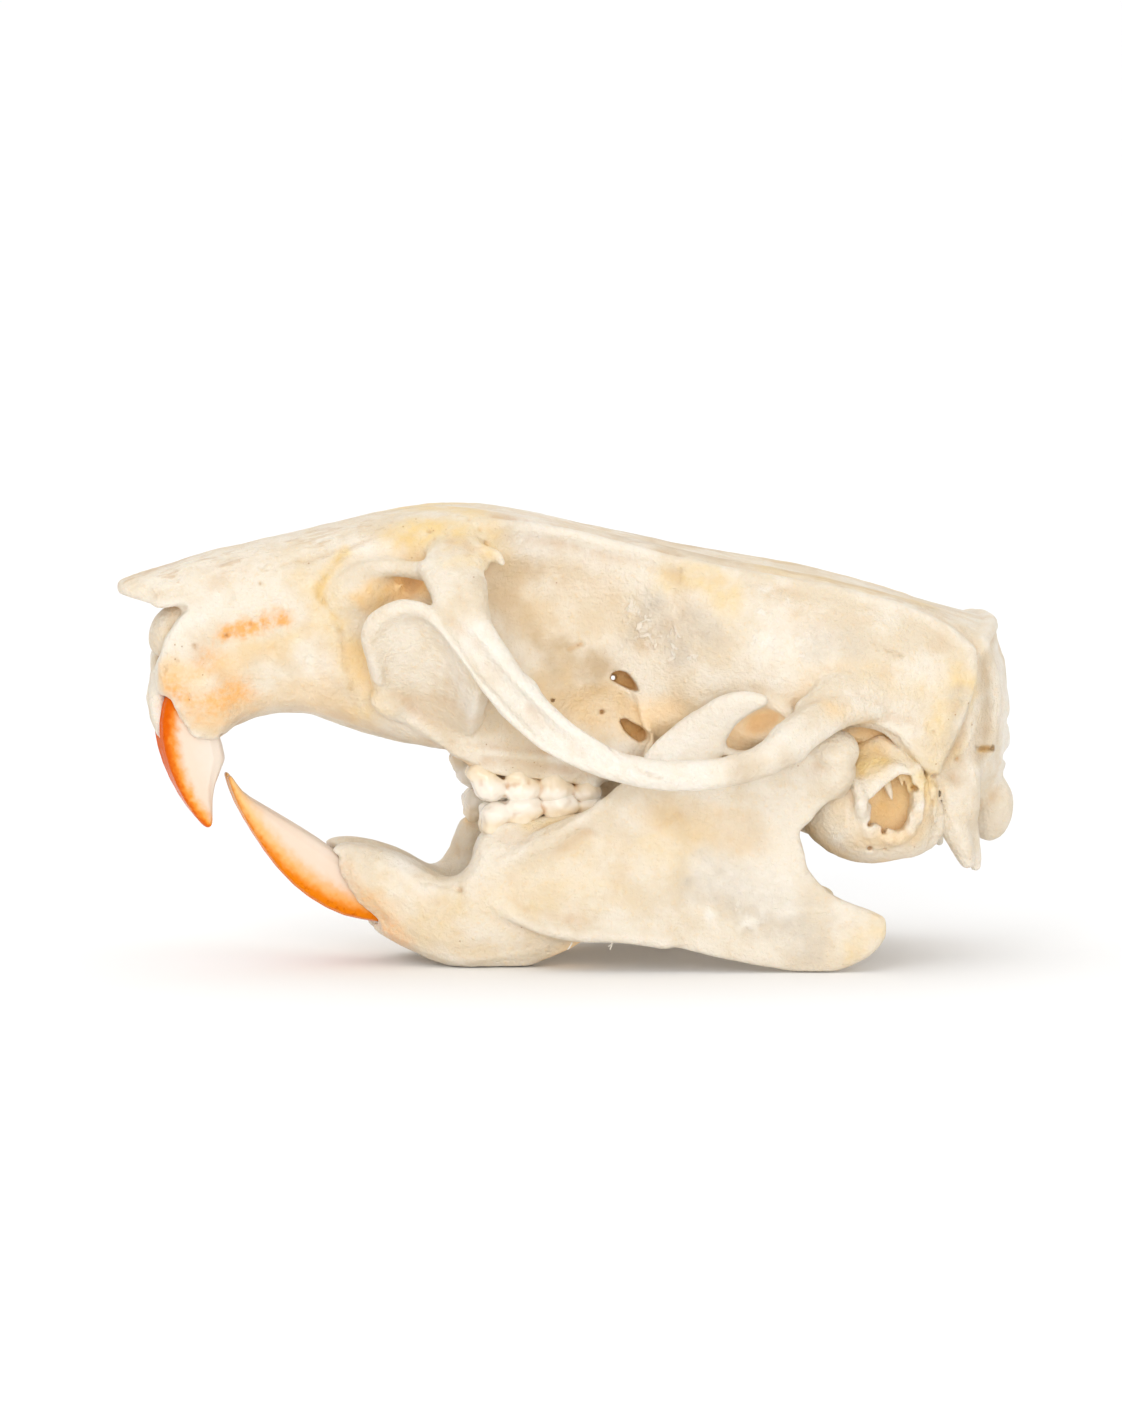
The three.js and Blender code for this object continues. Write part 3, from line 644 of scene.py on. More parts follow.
print("skull field")
craniumDetail = {
    "joinArches": 1.0,
    "fine": 0.17,
    "broad": 0.5,
    "thinFrom": 0.07,
    "thinTo": 0.16,
    "thinGrow": 0.07,
    "finish": 0.065,
    "uneven": 0.06,
    "features": [
        # Rim of the cheek plate, the shallow dish inside it and the pocket behind it
        ridge([[-9.95, 5.3, 14.6], [-10.1, 5.8, 15.6], [-10.5, 6.4, 16.8], [-10.2, 6.8, 17.7],
            [-9.6, 7.05, 18.15], [-8.9, 7.35, 18.4], [-7.9, 7.8, 18.2], [-6.8, 8.2, 17.4],
            [-5.9, 8.6, 16.3], [-4.8, 9.0, 14.6]], [0.12, 0.3, 0.4, 0.42, 0.4, 0.36, 0.3], 0.5),
        dent([-8.2, 8.1, 15.7], [1.6, 1.5, 2.2], 0.7, turn=24),
        dent([-3.55, 6.4, 12.95], [0.95, 1.7, 1.0], 0.3, turn=35),
        # Opening between the plate and the snout, with its upper lip, ledge and spur
        dent([-9.0, 4.7, 18.95], [2.1, 1.9, 1.0], 0.35, turn=12, rough=0.15),
        dent([-8.1, 3.6, 19.3], [0.8, 1.2, 0.6], 0.2, turn=10, rough=0.1),
        ridge([[-11.6, 3.3, 18.2], [-11.3, 3.5, 19.2], [-10.2, 3.8, 19.95], [-8.7, 4.3, 20.05],
            [-7.2, 5.1, 19.85]], [0.15, 0.3, 0.38, 0.45], 0.7),
        lump([-10.2, 2.5, 18.8], [2.0, 1.7, 1.2], 0.6, turn=12),
        ridge([[-8.9, 2.6, 18.8], [-8.6, 3.7, 19.1], [-8.3, 4.2, 19.35]], [0.25, 0.12, 0.07], 0.15),
        ridge([[-7.45, 5.6, 20.1], [-7.15, 6.4, 19.6], [-6.9, 7.0, 19.1], [-6.6, 7.6, 18.4]],
            [0.4, 0.5, 0.55, 0.5], 0.6),
        lump([-9.3, 4.2, 13.3], [0.8, 0.55, 0.5], 0.6, turn=-30),
        ridge([[-9.0, 3.9, 13.0], [-7.6, 3.65, 12.2], [-6.3, 3.4, 11.3]], [0.3, 0.22, 0.15], 0.5),
        # Thin blade between the upper incisors, and the hollow front of the nose
        ridge([[-20.25, 0.3, 14.5], [-20.28, 0.65, 13.3], [-20.2, 0.65, 12.3], [-20.15, 0.5, 11.5]],
            [0.36, 0.44, 0.38, 0.16], 0.25, rough=0.1, grain=0.6),
        dent([-22.85, 0.0, 19.0], [0.5, 1.6, 0.7], 0.35),
        # Thin inner wall that closes the view into the nose
        dent([-20.95, 0.0, 17.35], [0.55, 3.0, 0.5], 0.2),
        lump([-19.85, 0.35, 16.6], [0.75, 1.15, 1.2], 0.3, turn=-15),
        lump([-18.9, 0.5, 17.3], [0.9, 1.0, 0.75], 0.4, turn=-15),
        # Lip of bone round the root of each upper incisor
        ridge([[-20.4, 0.4, 13.85], [-20.2, 1.1, 13.95], [-19.7, 2.0, 13.95]], 0.26, 0.2, rough=0.1,
            grain=0.5),
        ridge([[-19.4, 2.25, 13.7], [-19.12, 2.35, 12.95], [-18.88, 2.35, 12.35], [-18.4, 2.3, 11.9],
            [-17.6, 2.1, 11.6]], [0.25, 0.32, 0.32, 0.32, 0.25], 0.2, rough=0.2, grain=0.5),
        # Two ridges on the outside of the arch and the groove between them
        ridge([[-6.88, 7.45, 18.67], [-5.69, 8.45, 17.46], [-4.67, 8.95, 16.09], [-3.3, 9.8, 14.54],
            [-1.94, 10.4, 13.33], [-0.74, 10.85, 12.46], [1.0, 11.1, 11.4]],
            [0.25, 0.3, 0.32, 0.3, 0.28, 0.25, 0.15], 0.4),
        ridge([[-7.39, 8.1, 17.99], [-6.54, 8.55, 16.97], [-5.69, 9.05, 15.77], [-4.92, 9.4, 14.57],
            [-3.64, 10.0, 13.02], [-2.28, 10.45, 11.81], [-0.4, 10.95, 10.9]],
            [0.25, 0.3, 0.32, 0.32, 0.3, 0.25, 0.15], 0.4),
        groove([[-6.6, 8.8, 17.75], [-5.88, 9.05, 16.81], [-5.03, 9.35, 15.61], [-4.01, 9.95, 14.4],
            [-2.65, 10.5, 13.02], [-1.28, 11.2, 11.81], [0.5, 11.65, 11.0]],
            [0.45, 0.52, 0.55, 0.55, 0.5, 0.45, 0.35], 0.3),
        # Rear root of the arch, where it runs into the temple
        ridge([[8.6, 10.2, 11.4], [9.7, 9.5, 12.3], [10.4, 9.0, 12.8], [11.3, 8.6, 13.0],
            [12.6, 8.1, 13.2]], [0.2, 0.3, 0.3, 0.2], 0.6),
        ridge([[11.0, 8.3, 13.25], [11.8, 8.35, 13.5], [12.8, 8.1, 13.75], [14.0, 7.6, 13.95]],
            [0.4, 0.6, 0.65, 0.5], 0.7),
        ridge([[12.4, 8.0, 14.0], [13.8, 7.5, 13.9], [15.2, 7.1, 13.6], [16.4, 6.9, 13.2]],
            [0.5, 0.72, 0.72, 0.4], 1.0),
        # Eye-socket wall
        dent([1.2, 4.4, 12.4], [2.2, 1.2, 1.5], 0.8, turn=10),
        ridge([[2.2, 3.3, 15.0], [2.6, 3.6, 14.75], [3.0, 3.85, 14.4], [3.3, 4.05, 14.0],
            [3.5, 4.2, 13.4], [3.55, 4.3, 12.7], [3.7, 4.4, 12.0], [3.85, 4.5, 11.2], [3.7, 4.4, 10.6]],
            [0.1, 0.2, 0.24, 0.22, 0.2], 0.3),
        hole([[1.95, 14.35], [2.15, 14.66], [2.45, 14.74], [2.82, 14.63], [3.18, 14.2], [3.38, 13.74],
            [3.0, 13.8], [2.44, 14.05]], [2.75, 5.0], 0.12, rough=0.04),
        groove([[2.1, 3.9, 14.46], [3.2, -4.2, 13.58]], 0.16, 0.05, sides=(nearSide,)),
        hole([[2.5, 12.25], [2.8, 12.35], [3.07, 12.17], [3.5, 11.97], [3.85, 11.65], [3.8, 11.3],
            [3.46, 11.15], [3.05, 11.4], [2.68, 11.78]], [2.7, 5.0], 0.12, rough=0.05),
        dent([1.62, 3.2, 12.65], [0.13, 0.7, 0.15], 0.08),
        groove([[-0.1, 3.15, 15.78], [0.55, 3.15, 16.05]], [0.08, 0.16], 0.15),
        dent([-0.95, 3.4, 13.34], [0.26, 0.4, 0.2], 0.1),
        dent([4.5, 5.7, 12.95], [0.9, 0.75, 1.0], 0.4, turn=25),
        ridge([[8.3, 6.9, 13.75], [9.2, 7.2, 13.55], [9.85, 7.3, 13.2], [10.4, 7.4, 12.8]],
            [0.12, 0.3, 0.36, 0.3], 0.35),
        dent([9.0, 7.2, 12.15], [1.2, 1.4, 0.85], 0.18, turn=25),
        # Rough upper front edge of the eye socket
        ridge([[-5.0, 4.8, 20.95], [-4.4, 5.3, 20.85], [-3.95, 5.5, 20.65], [-3.7, 5.6, 20.4]],
            [0.5, 0.38, 0.28, 0.16], 0.3, rough=0.16, grain=0.5),
        dent([-4.5, 5.9, 19.8], [0.4, 0.7, 0.24], 0.15, turn=10, rough=0.1),
        # Ridge along each side of the roof, and the crest at the back
        ridge([[-3.7, 3.75, 22.1], [-0.8, 3.45, 21.7], [2.2, 3.6, 20.95], [5.2, 4.6, 20.2],
            [8.3, 5.15, 19.55], [11.3, 5.5, 19.05], [14.3, 5.65, 18.35], [16.3, 5.75, 17.75],
            [18.3, 5.8, 16.85], [19.5, 6.2, 15.7]], [0.2, 0.26, 0.26, 0.3], 0.45),
        ridge([[19.5, 6.3, 15.7], [19.6, 6.8, 14.2], [19.2, 7.0, 12.5], [18.4, 7.05, 10.8]],
            [0.3, 0.38, 0.36, 0.25], 0.4),
        # Lower edge of the temple bone, the recess under it and the hook at its end
        ridge([[12.9, 6.9, 12.95], [14.0, 6.9, 12.95], [15.2, 6.85, 12.7], [16.2, 6.75, 11.95],
            [17.0, 6.75, 11.0], [17.5, 6.9, 10.6]], [0.6, 0.75, 0.75, 0.6], 0.5),
        ridge([[17.0, 6.9, 11.2], [17.4, 7.1, 10.4], [17.6, 7.2, 9.95]], [0.6, 0.42, 0.2], 0.3),
        groove([[13.0, 6.9, 11.65], [14.1, 6.9, 11.75], [15.1, 6.8, 11.5], [16.0, 6.6, 10.8]],
            [0.3, 0.42, 0.4, 0.25], 0.15),
        ridge([[17.5, 6.6, 9.5], [17.75, 6.7, 8.3], [17.8, 6.5, 7.3]], [0.3, 0.42, 0.25], 0.15,
            rough=0.22, grain=0.45),
        ridge([[17.3, 6.9, 9.4], [17.55, 7.2, 8.95], [17.5, 7.15, 8.5]], [0.15, 0.26, 0.14], 0.1,
            rough=0.1, grain=0.5),
        dent([17.75, 7.2, 9.62], [0.24, 0.7, 0.14], 0.08, turn=-10),
        # Column behind the ear, its spike, and the back of the head
        ridge([[19.0, 5.7, 11.4], [19.4, 5.75, 9.6], [19.45, 5.6, 8.0], [19.35, 5.4, 7.3]],
            [0.4, 0.8, 0.85, 0.6], 0.5),
        groove([[18.75, 5.3, 6.4], [19.1, 5.3, 5.4], [19.35, 5.2, 4.6]], [0.2, 0.3, 0.3], 0.15),
        ridge([[19.5, 5.3, 7.4], [19.75, 5.25, 6.2], [20.0, 5.2, 5.35], [20.15, 5.2, 4.9]],
            [0.7, 0.55, 0.4, 0.28], 0.25, rough=0.1, grain=0.7),
        lump([21.5, 2.2, 7.3], [1.0, 0.95, 1.5], 0.35, turn=-8),
        lump([21.55, 2.5, 12.6], [0.6, 0.9, 0.9], 0.5),
        lump([21.6, 2.5, 10.9], [0.55, 0.8, 0.7], 0.5),
        ridge([[20.44, 5.4, 15.8], [21.05, 4.5, 14.45], [21.2, 4.45, 13.1], [21.0, 4.8, 12.1],
            [20.8, 5.0, 10.6]], [0.25, 0.32, 0.3, 0.3, 0.2], 0.4),
        groove([[20.1, 6.75, 14.4], [19.98, 7.0, 13.6], [19.75, 7.2, 12.7], [19.35, 7.25, 11.75],
            [18.9, 7.25, 10.85], [18.4, 7.1, 10.1]], [0.3, 0.4, 0.45, 0.45, 0.42, 0.3], 0.25),
        groove([[19.75, 5.5, 17.1], [20.15, 6.1, 15.9], [20.2, 6.7, 14.7]], [0.2, 0.32, 0.3], 0.25),
        groove([[18.2, 6.85, 9.7], [18.1, 6.85, 8.9], [18.15, 6.8, 7.9], [18.3, 6.7, 7.1]],
            [0.2, 0.28, 0.28, 0.2], 0.12, rough=0.08, grain=0.6),
        dent([22.45, 2.6, 11.9], [0.35, 1.5, 0.22], 0.2),
        dent([22.35, 2.6, 10.1], [0.45, 1.6, 0.35], 0.25),
        dent([22.3, 2.6, 15.55], [0.5, 2.0, 0.5], 0.3),
        groove([[20.05, 6.2, 10.82], [20.4, 5.85, 10.8], [20.8, 5.43, 10.78], [21.1, 5.15, 10.76]],
            [0.07, 0.11, 0.1, 0.06], 0.04),
        # Bed of the upper cheek teeth
        hole([[-5.3, 9.95], [-3.64, 9.6], [-1.89, 9.4], [0.11, 9.12], [1.65, 8.82], [1.65, 7.9],
            [-5.3, 7.9]], [1.9, 4.7], 0.15, rough=0.05),
    ],
    # Small pits: place, then half width
    "pits": [
        [-19.6, 2.67, 15.45, 0.2], [-20.1, 2.43, 15.0, 0.16], [-18.7, 2.79, 16.2, 0.15],
        [-18.9, 2.91, 13.75, 0.18], [-17.1, 3.0, 16.7, 0.14], [-15.4, 2.91, 19.25, 0.14],
        [-15.9, 3.15, 17.25, 0.14], [-15.4, 3.27, 17.6, 0.15], [-15.1, 3.27, 17.1, 0.13],
        [-14.4, 3.27, 17.1, 0.13], [17.3, 7.71, 12.2, 0.15], [17.6, 7.71, 11.9, 0.18],
        [17.9, 7.59, 12.15, 0.13], [18.9, 6.75, 10.4, 0.16], [-7.1, 3.75, 21.8, 0.15],
        [-6.9, 4.23, 21.5, 0.14], [-6.3, 4.35, 21.7, 0.13], [-5.1, 3.75, 22.35, 0.15],
        [-4.6, 4.11, 21.9, 0.16], [-4.3, 4.35, 21.25, 0.18],
    ],
    "pitShare": 0.85,
    "pitDepth": 0.28,
    "pitEdge": {"blend": 0.05, "rough": 0.04, "grain": 0.4},
    "frontPlane": [[-3.3, 9.2, 14.2], 0.9],
    "rearPlane": [[9.9, 10.1, 11.6], -0.62],
    "cutReach": 2.6,
    "cutFrom": 7.8,
    "archMiddle": [3.0, 11.0, 10.3],
}
archNodes = {"zygomatic_arch_" + word: word for word in sideWords}
skull = nodeField(["cranium", *archNodes], fieldSettings["skullVoxel"])
skull.values = skull.parts["cranium"]
for node in archNodes:
    skull.values = smoothMin(skull.values, skull.parts[node], craniumDetail["joinArches"])
skull.parts.clear()
skull.settle(craniumDetail)
skull.carve(craniumDetail["features"])
for x, w, z, half in craniumDetail["pits"]:
    wide = craniumDetail["pitShare"] * half
    skull.carve([dent([x, w, z], [wide, craniumDetail["pitDepth"], wide], **craniumDetail["pitEdge"])])
skull.finish(craniumDetail)


# Cuts the cheek arches off along their seams, so that each is a closed bone of its own
def partArches(whole):
    work = bmesh.new()
    work.from_mesh(whole.data)
    planes = (craniumDetail["frontPlane"], craniumDetail["rearPlane"])
    reach = craniumDetail["cutReach"] * mm
    for side, (centre, lean) in itertools.product(bothSides, planes):
        spot = Vector(onSide(centre, side)) * mm
        near = []
        for face in work.faces:
            middle = face.calc_center_median()
            if middle.y * side > craniumDetail["cutFrom"] * mm and (middle - spot).length < reach:
                near.append(face)
        parts = set(near)
        for face in near:
            parts.update(face.edges)
            parts.update(face.verts)
        cut = bmesh.ops.bisect_plane(
            work,
            geom=list(parts),
            dist=1e-8,
            plane_co=spot,
            plane_no=Vector((math.cos(lean), 0, -math.sin(lean))),
        )
        line = [part for part in cut["geom_cut"] if isinstance(part, bmesh.types.BMEdge)]
        bmesh.ops.split_edges(work, edges=line)
    bmesh.ops.triangulate(work, faces=work.faces[:])
    work.to_mesh(whole.data)
    work.free()
    points = placesOf(whole.data)
    faces = np.zeros(len(whole.data.polygons) * 3, np.int64)
    whole.data.polygons.foreach_get("vertices", faces)
    faces = faces.reshape(-1, 3)
    label = shellLabels(len(points), faces)
    made = {}
    taken = np.zeros(len(points), bool)
    for node, word in archNodes.items():
        middle = onSide(craniumDetail["archMiddle"], sideWords[word])
        chosen = label == label[((points - middle) ** 2).sum(1).argmin()]
        taken |= chosen
        made[node] = shellPiece(word + "Arch", points, faces, chosen)
    made["cranium"] = shellPiece("craniumBone", points, faces, ~taken)
    bpy.data.objects.remove(whole)
    return made


def shellPiece(name, points, faces, chosen):
    piece = meshPiece(name, *chosenPart(points, faces, chosen))
    work = bmesh.new()
    work.from_mesh(piece.data)
    rim = [edge for edge in work.edges if edge.is_boundary]
    bmesh.ops.holes_fill(work, edges=rim, sides=0)
    for edge in rim:
        edge.smooth = False
    bmesh.ops.triangulate(work, faces=[face for face in work.faces if len(face.verts) > 4])
    work.to_mesh(piece.data)
    work.free()
    print("piece", name, len(piece.data.polygons))
    return piece


pieces = partArches(skull.surface("wholeSkull", uneven=craniumDetail["uneven"]))
fields = dict.fromkeys(pieces, skull)

print("ear capsules")
capsuleDetail = {
    "grow": 0.2,
    "fine": 0.2,
    "broad": 0.4,
    "thinFrom": 0.08,
    "thinTo": 0.18,
    "thinGrow": 0.0,
    "finish": 0.07,
    "uneven": 0.05,
    "unevenGrain": 0.8,
    "features": [
        # Swellings above and behind the opening, and the upper edge
        lump([15.1, 6.1, 9.7], [1.9, 1.25, 1.35], 0.5, turn=-12),
        lump([16.8, 5.6, 6.7], [1.15, 1.2, 1.15], 0.6),
        ridge([[14.1, 6.3, 10.9], [15.0, 6.5, 11.3], [15.7, 6.8, 10.95], [16.35, 7.0, 10.5],
            [16.75, 7.3, 9.95]], [0.35, 0.38, 0.38, 0.36, 0.3], 0.35, rough=0.1),
        # Ragged ring round the ear opening, with a knob in front of it and a pillar behind
        ridge([[14.3, 7.4, 7.3], [14.1, 7.55, 8.3], [14.6, 7.6, 9.2], [15.5, 7.5, 9.9],
            [16.6, 7.3, 10.0]], [0.3, 0.36, 0.36, 0.28], 0.3, rough=0.32, grain=0.5),
        ridge([[16.85, 7.3, 9.2], [16.95, 7.6, 8.2], [16.7, 7.45, 7.4], [16.2, 7.3, 6.8],
            [15.6, 7.2, 6.6], [14.9, 7.3, 6.8], [14.3, 7.4, 7.3]], [0.25, 0.32, 0.32, 0.28, 0.25], 0.3,
            rough=0.32, grain=0.5),
        ridge([[13.5, 7.2, 9.6], [13.8, 7.7, 9.1], [13.95, 7.9, 8.4], [13.9, 7.8, 7.95]],
            [0.2, 0.38, 0.42, 0.28], 0.15, rough=0.12, grain=0.6),
        groove([[14.25, 7.95, 9.3], [14.33, 8.1, 8.6], [14.25, 8.1, 7.9]], 0.13, 0.1),
        groove([[17.2, 7.45, 9.2], [17.25, 7.6, 8.3], [17.1, 7.4, 7.5]], 0.15, 0.1, rough=0.08,
            grain=0.5),
        ridge([[17.9, 6.3, 7.9], [18.15, 6.2, 7.3], [17.9, 6.0, 6.6], [17.6, 5.8, 6.2]],
            [0.35, 0.4, 0.35, 0.3], 0.25, rough=0.2, grain=0.5),
        # The opening, the hollow inside it and the notches in its edge
        hole([[14.4, 7.46], [14.46, 8.21], [14.85, 9.0], [15.35, 9.44], [15.9, 9.8], [16.45, 9.72],
            [16.55, 9.17], [16.46, 8.67], [16.18, 8.35], [16.32, 7.5], [16.07, 7.02], [15.66, 6.94],
            [15.07, 7.25]], [6.35, 9.0], 0.12, rough=0.1),
        dent([15.4, 6.6, 8.3], [1.35, 0.5, 1.45], 0.2),
        dent([14.42, 7.5, 7.38], [0.24, 0.8, 0.13], 0.06, turn=30),
        dent([15.1, 7.5, 6.98], [0.14, 0.8, 0.2], 0.06),
        dent([16.6, 7.5, 9.1], [0.26, 0.8, 0.15], 0.06, turn=-20),
        dent([16.3, 7.5, 8.2], [0.16, 0.8, 0.12], 0.06),
        dent([14.4, 7.6, 8.5], [0.18, 0.8, 0.14], 0.06, turn=-30),
        # Small ear bones that hang from the upper edge
        ridge([[15.25, 6.8, 9.6], [15.45, 6.9, 8.95], [15.64, 7.0, 8.3]], [0.3, 0.2, 0.06], 0.12),
        ridge([[16.0, 6.8, 9.9], [16.05, 6.9, 9.4], [16.14, 7.0, 8.9]], [0.2, 0.14, 0.06], 0.12),
        ridge([[16.5, 6.8, 9.9], [16.45, 6.9, 9.3], [16.35, 7.0, 8.75]], [0.25, 0.16, 0.06], 0.12),
        # Small openings in the lower wall
        dent([14.5, 7.0, 6.08], [0.16, 0.6, 0.13], 0.06),
        groove([[14.66, 6.9, 5.75], [15.0, 6.9, 5.85], [15.23, 6.9, 6.02]], [0.1, 0.08, 0.14], 0.06),
    ],
}
for word, side in sideWords.items():
    node = "auditory_bulla_" + word
    field = nodeField([node], fieldSettings["capsuleVoxel"])
    field.values = field.parts[node] - capsuleDetail["grow"]
    field.settle(capsuleDetail)
    field.carve(capsuleDetail["features"], (side,))
    field.finish(capsuleDetail)
    pieces[node] = field.surface(
        word + "EarCapsule", uneven=capsuleDetail["uneven"], grain=capsuleDetail["unevenGrain"]
    )
    fields[node] = field

print("lower jaws")
jawDetail = {
    "fine": 0.16,
    "broad": 0.45,
    "thinFrom": 0.06,
    "thinTo": 0.14,
    "thinGrow": 0.08,
    "finish": 0.08,
    "uneven": 0.04,
    "overFloor": 0.06,
    "features": [
        # Small openings in the side of the body
        dent([-5.7, 4.45, 4.0], [0.28, 0.55, 0.18], 0.15),
        dent([-7.4, 3.7, 4.2], [0.14, 0.6, 0.14], 0.08),
        # Ragged edge of the socket round the lower incisor
        hole([[-12.3, 6.2], [-11.35, 5.42], [-11.42, 4.58], [-10.96, 3.81], [-10.28, 3.03],
            [-9.55, 2.3], [-9.35, 1.6], [-10.0, 1.2], [-12.0, 2.0], [-13.5, 4.0], [-13.5, 6.2]],
            [1.3, 4.0], 0.08, rough=0.3, grain=0.45),
        groove([[-12.0, 2.3, 5.96], [-11.3, 2.6, 5.42], [-11.4, 2.65, 4.58], [-10.96, 2.75, 3.81],
            [-10.28, 2.75, 3.03], [-9.5, 2.65, 2.25]], 0.4, 0.5),
        # Ridge that climbs from the cheek side of the body to the front of the coronoid
        ridge([[-4.2, 4.4, 4.7], [-2.6, 5.0, 5.9], [-0.8, 5.4, 6.9], [1.2, 5.7, 8.2]], [0.2, 0.3, 0.2],
            0.6),
        # Front of the coronoid, the notch behind it, the condyle and the lower ridge
        ridge([[3.5, 6.5, 10.7], [4.1, 6.6, 11.4], [4.9, 6.8, 12.1], [5.8, 6.9, 12.8]],
            [0.3, 0.3, 0.26, 0.2], 0.4),
        ridge([[6.8, 7.2, 11.3], [7.5, 7.1, 10.98], [8.3, 7.05, 10.78], [9.0, 7.2, 10.9]],
            [0.2, 0.22, 0.24, 0.2], 0.3),
        ridge([[13.1, 7.4, 10.4], [13.2, 7.4, 9.75], [12.85, 7.3, 9.0]], [0.42, 0.46, 0.38], 0.5),
        ridge([[-4.0, 4.6, 3.4], [-2.4, 5.5, 2.4], [-0.4, 5.9, 1.9], [2.0, 6.3, 1.8], [4.2, 6.7, 1.5]],
            [0.2, 0.3, 0.25], 0.6),
        # Bed of the lower cheek teeth
        hole([[-4.6, 6.95], [-3.41, 7.3], [-1.53, 7.55], [0.47, 7.72], [1.7, 7.95], [1.7, 8.8],
            [-4.6, 8.8]], [1.8, 4.3], 0.15, rough=0.05),
    ],
}
for word, side in sideWords.items():
    node = "mandible_" + word
    field = nodeField([node], fieldSettings["jawVoxel"])
    field.values = field.parts[node]
    field.settle(jawDetail)
    field.carve(jawDetail["features"], (side,))
    field.finish(jawDetail)
    field.values = np.maximum(field.values, jawDetail["overFloor"] - field.grid()[2])
    pieces[node] = field.surface(word + "LowerJaw", uneven=jawDetail["uneven"])
    fields[node] = field

print("molars")
molarDetail = {
    "finish": 0.05,
    "rows": [2.75, 3.5],
    "reach": 0.72,
    # One row for each tooth. A cusp is its place at the neck, its place at the tip and its half width.
    "upper": [
        [[-4.6, 9.72, -4.0, 8.98, 0.78], [-2.68, 9.36, -2.42, 8.84, 0.88]],
        [[-0.9, 9.2, -0.75, 8.82, 0.9]],
        [[0.72, 8.98, 0.8, 8.72, 0.72]],
    ],
    "lower": [
        [[-3.9, 7.05, -3.75, 7.66, 0.76], [-2.45, 7.4, -2.35, 7.97, 0.94]],
        [[-0.6, 7.7, -0.5, 8.04, 0.96]],
        [[0.9, 7.85, 0.95, 8.06, 0.66]],
    ],
    "room": 1.2,
    "across": (1.3, 5.0),
    "neckShare": 0.76,
    "bellyShare": 0.9,
    "tip": 0.46,
    "lean": 6,
    "tipBlend": 0.3,
    "cuspBlend": 0.2,
    "wear": 0.16,
    "wearGrain": 0.5,
    "wearSeed": 41,
    "creaseReach": 0.14,
    "hollowReach": 0.3,
    "neckFrom": 0.05,
    "neckTo": 0.55,
}


def molarRow(name, teeth, side, down):
    detail = molarDetail
    cusps = [cusp for tooth in teeth for cusp in tooth]
    xs = [x for cusp in cusps for x in (cusp[0], cusp[2])]
    zs = [z for cusp in cusps for z in (cusp[1], cusp[3])]
    across = sorted(side * w for w in detail["across"])
    low = [min(xs) - detail["room"], across[0], min(zs) - detail["room"]]
    high = [max(xs) + detail["room"], across[1], max(zs) + detail["room"]]
    field = BoneField(low, high, fieldSettings["molarVoxel"])
    x, y, z = field.grid()
    for number, tooth in enumerate(teeth):
        crown = np.full(field.shape, 1.0, np.float32)
        for (x0, z0, x1, z1, half), w in itertools.product(tooth, detail["rows"]):
            place = onSide([[x0, w, z0], [x1, w, z1]], side)
            neck = pathDistance(x, y, z, place, [half * detail["neckShare"], half * detail["bellyShare"]])
            size = [half, detail["reach"], detail["tip"]]
            tip = ballDistance(x, y, z, place[1], size, detail["lean"] * down)
            crown = smoothMin(crown, smoothMin(neck, tip, detail["tipBlend"]), detail["cuspBlend"])
        wear = layeredNoise(x, y, z, detail["wearGrain"], detail["wearSeed"] + number)
        field.values = np.minimum(field.values, crown + detail["wear"] * wear)
    field.finish(detail)
    piece = field.surface(name, wholeOnly=False)
    places = placesOf(piece.data)
    crease, hollow, _ = hollowOn(field, places, detail["creaseReach"], detail["hollowReach"])
    mark(piece, "hollow", np.maximum(crease, hollow))
    ends = np.array([[(cusp[0] + cusp[2]) / 2, cusp[1]] for cusp in cusps])
    fromNeck = (places[:, 2] - np.interp(places[:, 0], ends[:, 0], ends[:, 1])) * -down
    mark(piece, "neck", 1 - smoothStep(detail["neckFrom"], detail["neckTo"], fromNeck))
    return piece


molars = []
for word, side in sideWords.items():
    molars.append(molarRow(word + "UpperMolars", molarDetail["upper"], side, 1))
    molars.append(molarRow(word + "LowerMolars", molarDetail["lower"], side, -1))

print("dried fibres")
fibreDetail = {
    "roots": [[1.86, 5.66, 1.52], [1.76, 5.64, 1.48], [-0.2, 5.3, 1.42]],
    "length": 0.4,
    "thickness": 0.035,
    "curl": 0.12,
    "seed": 4,
    "steps": 8,
    "sides": 6,
    "middleDrop": -0.6,
    "endDrop": -1.0,
    "leastTurn": (-0.2, -0.1, -0.4),
    "mostTurn": (0.2, 0.5, 0.4),
    "pale": toned(237, 230, 218),
    "dull": toned(222, 206, 181),
    "shader": {"Roughness": 0.4},
}


def fibreMaterial(name):
    material, sheet, shader, place, grain = newLook(name, fibreDetail["shader"])
    sheet.feed(shader["Base Color"], sheet.mix(grain["Speck"], fibreDetail["pale"], fibreDetail["dull"]))
    return material


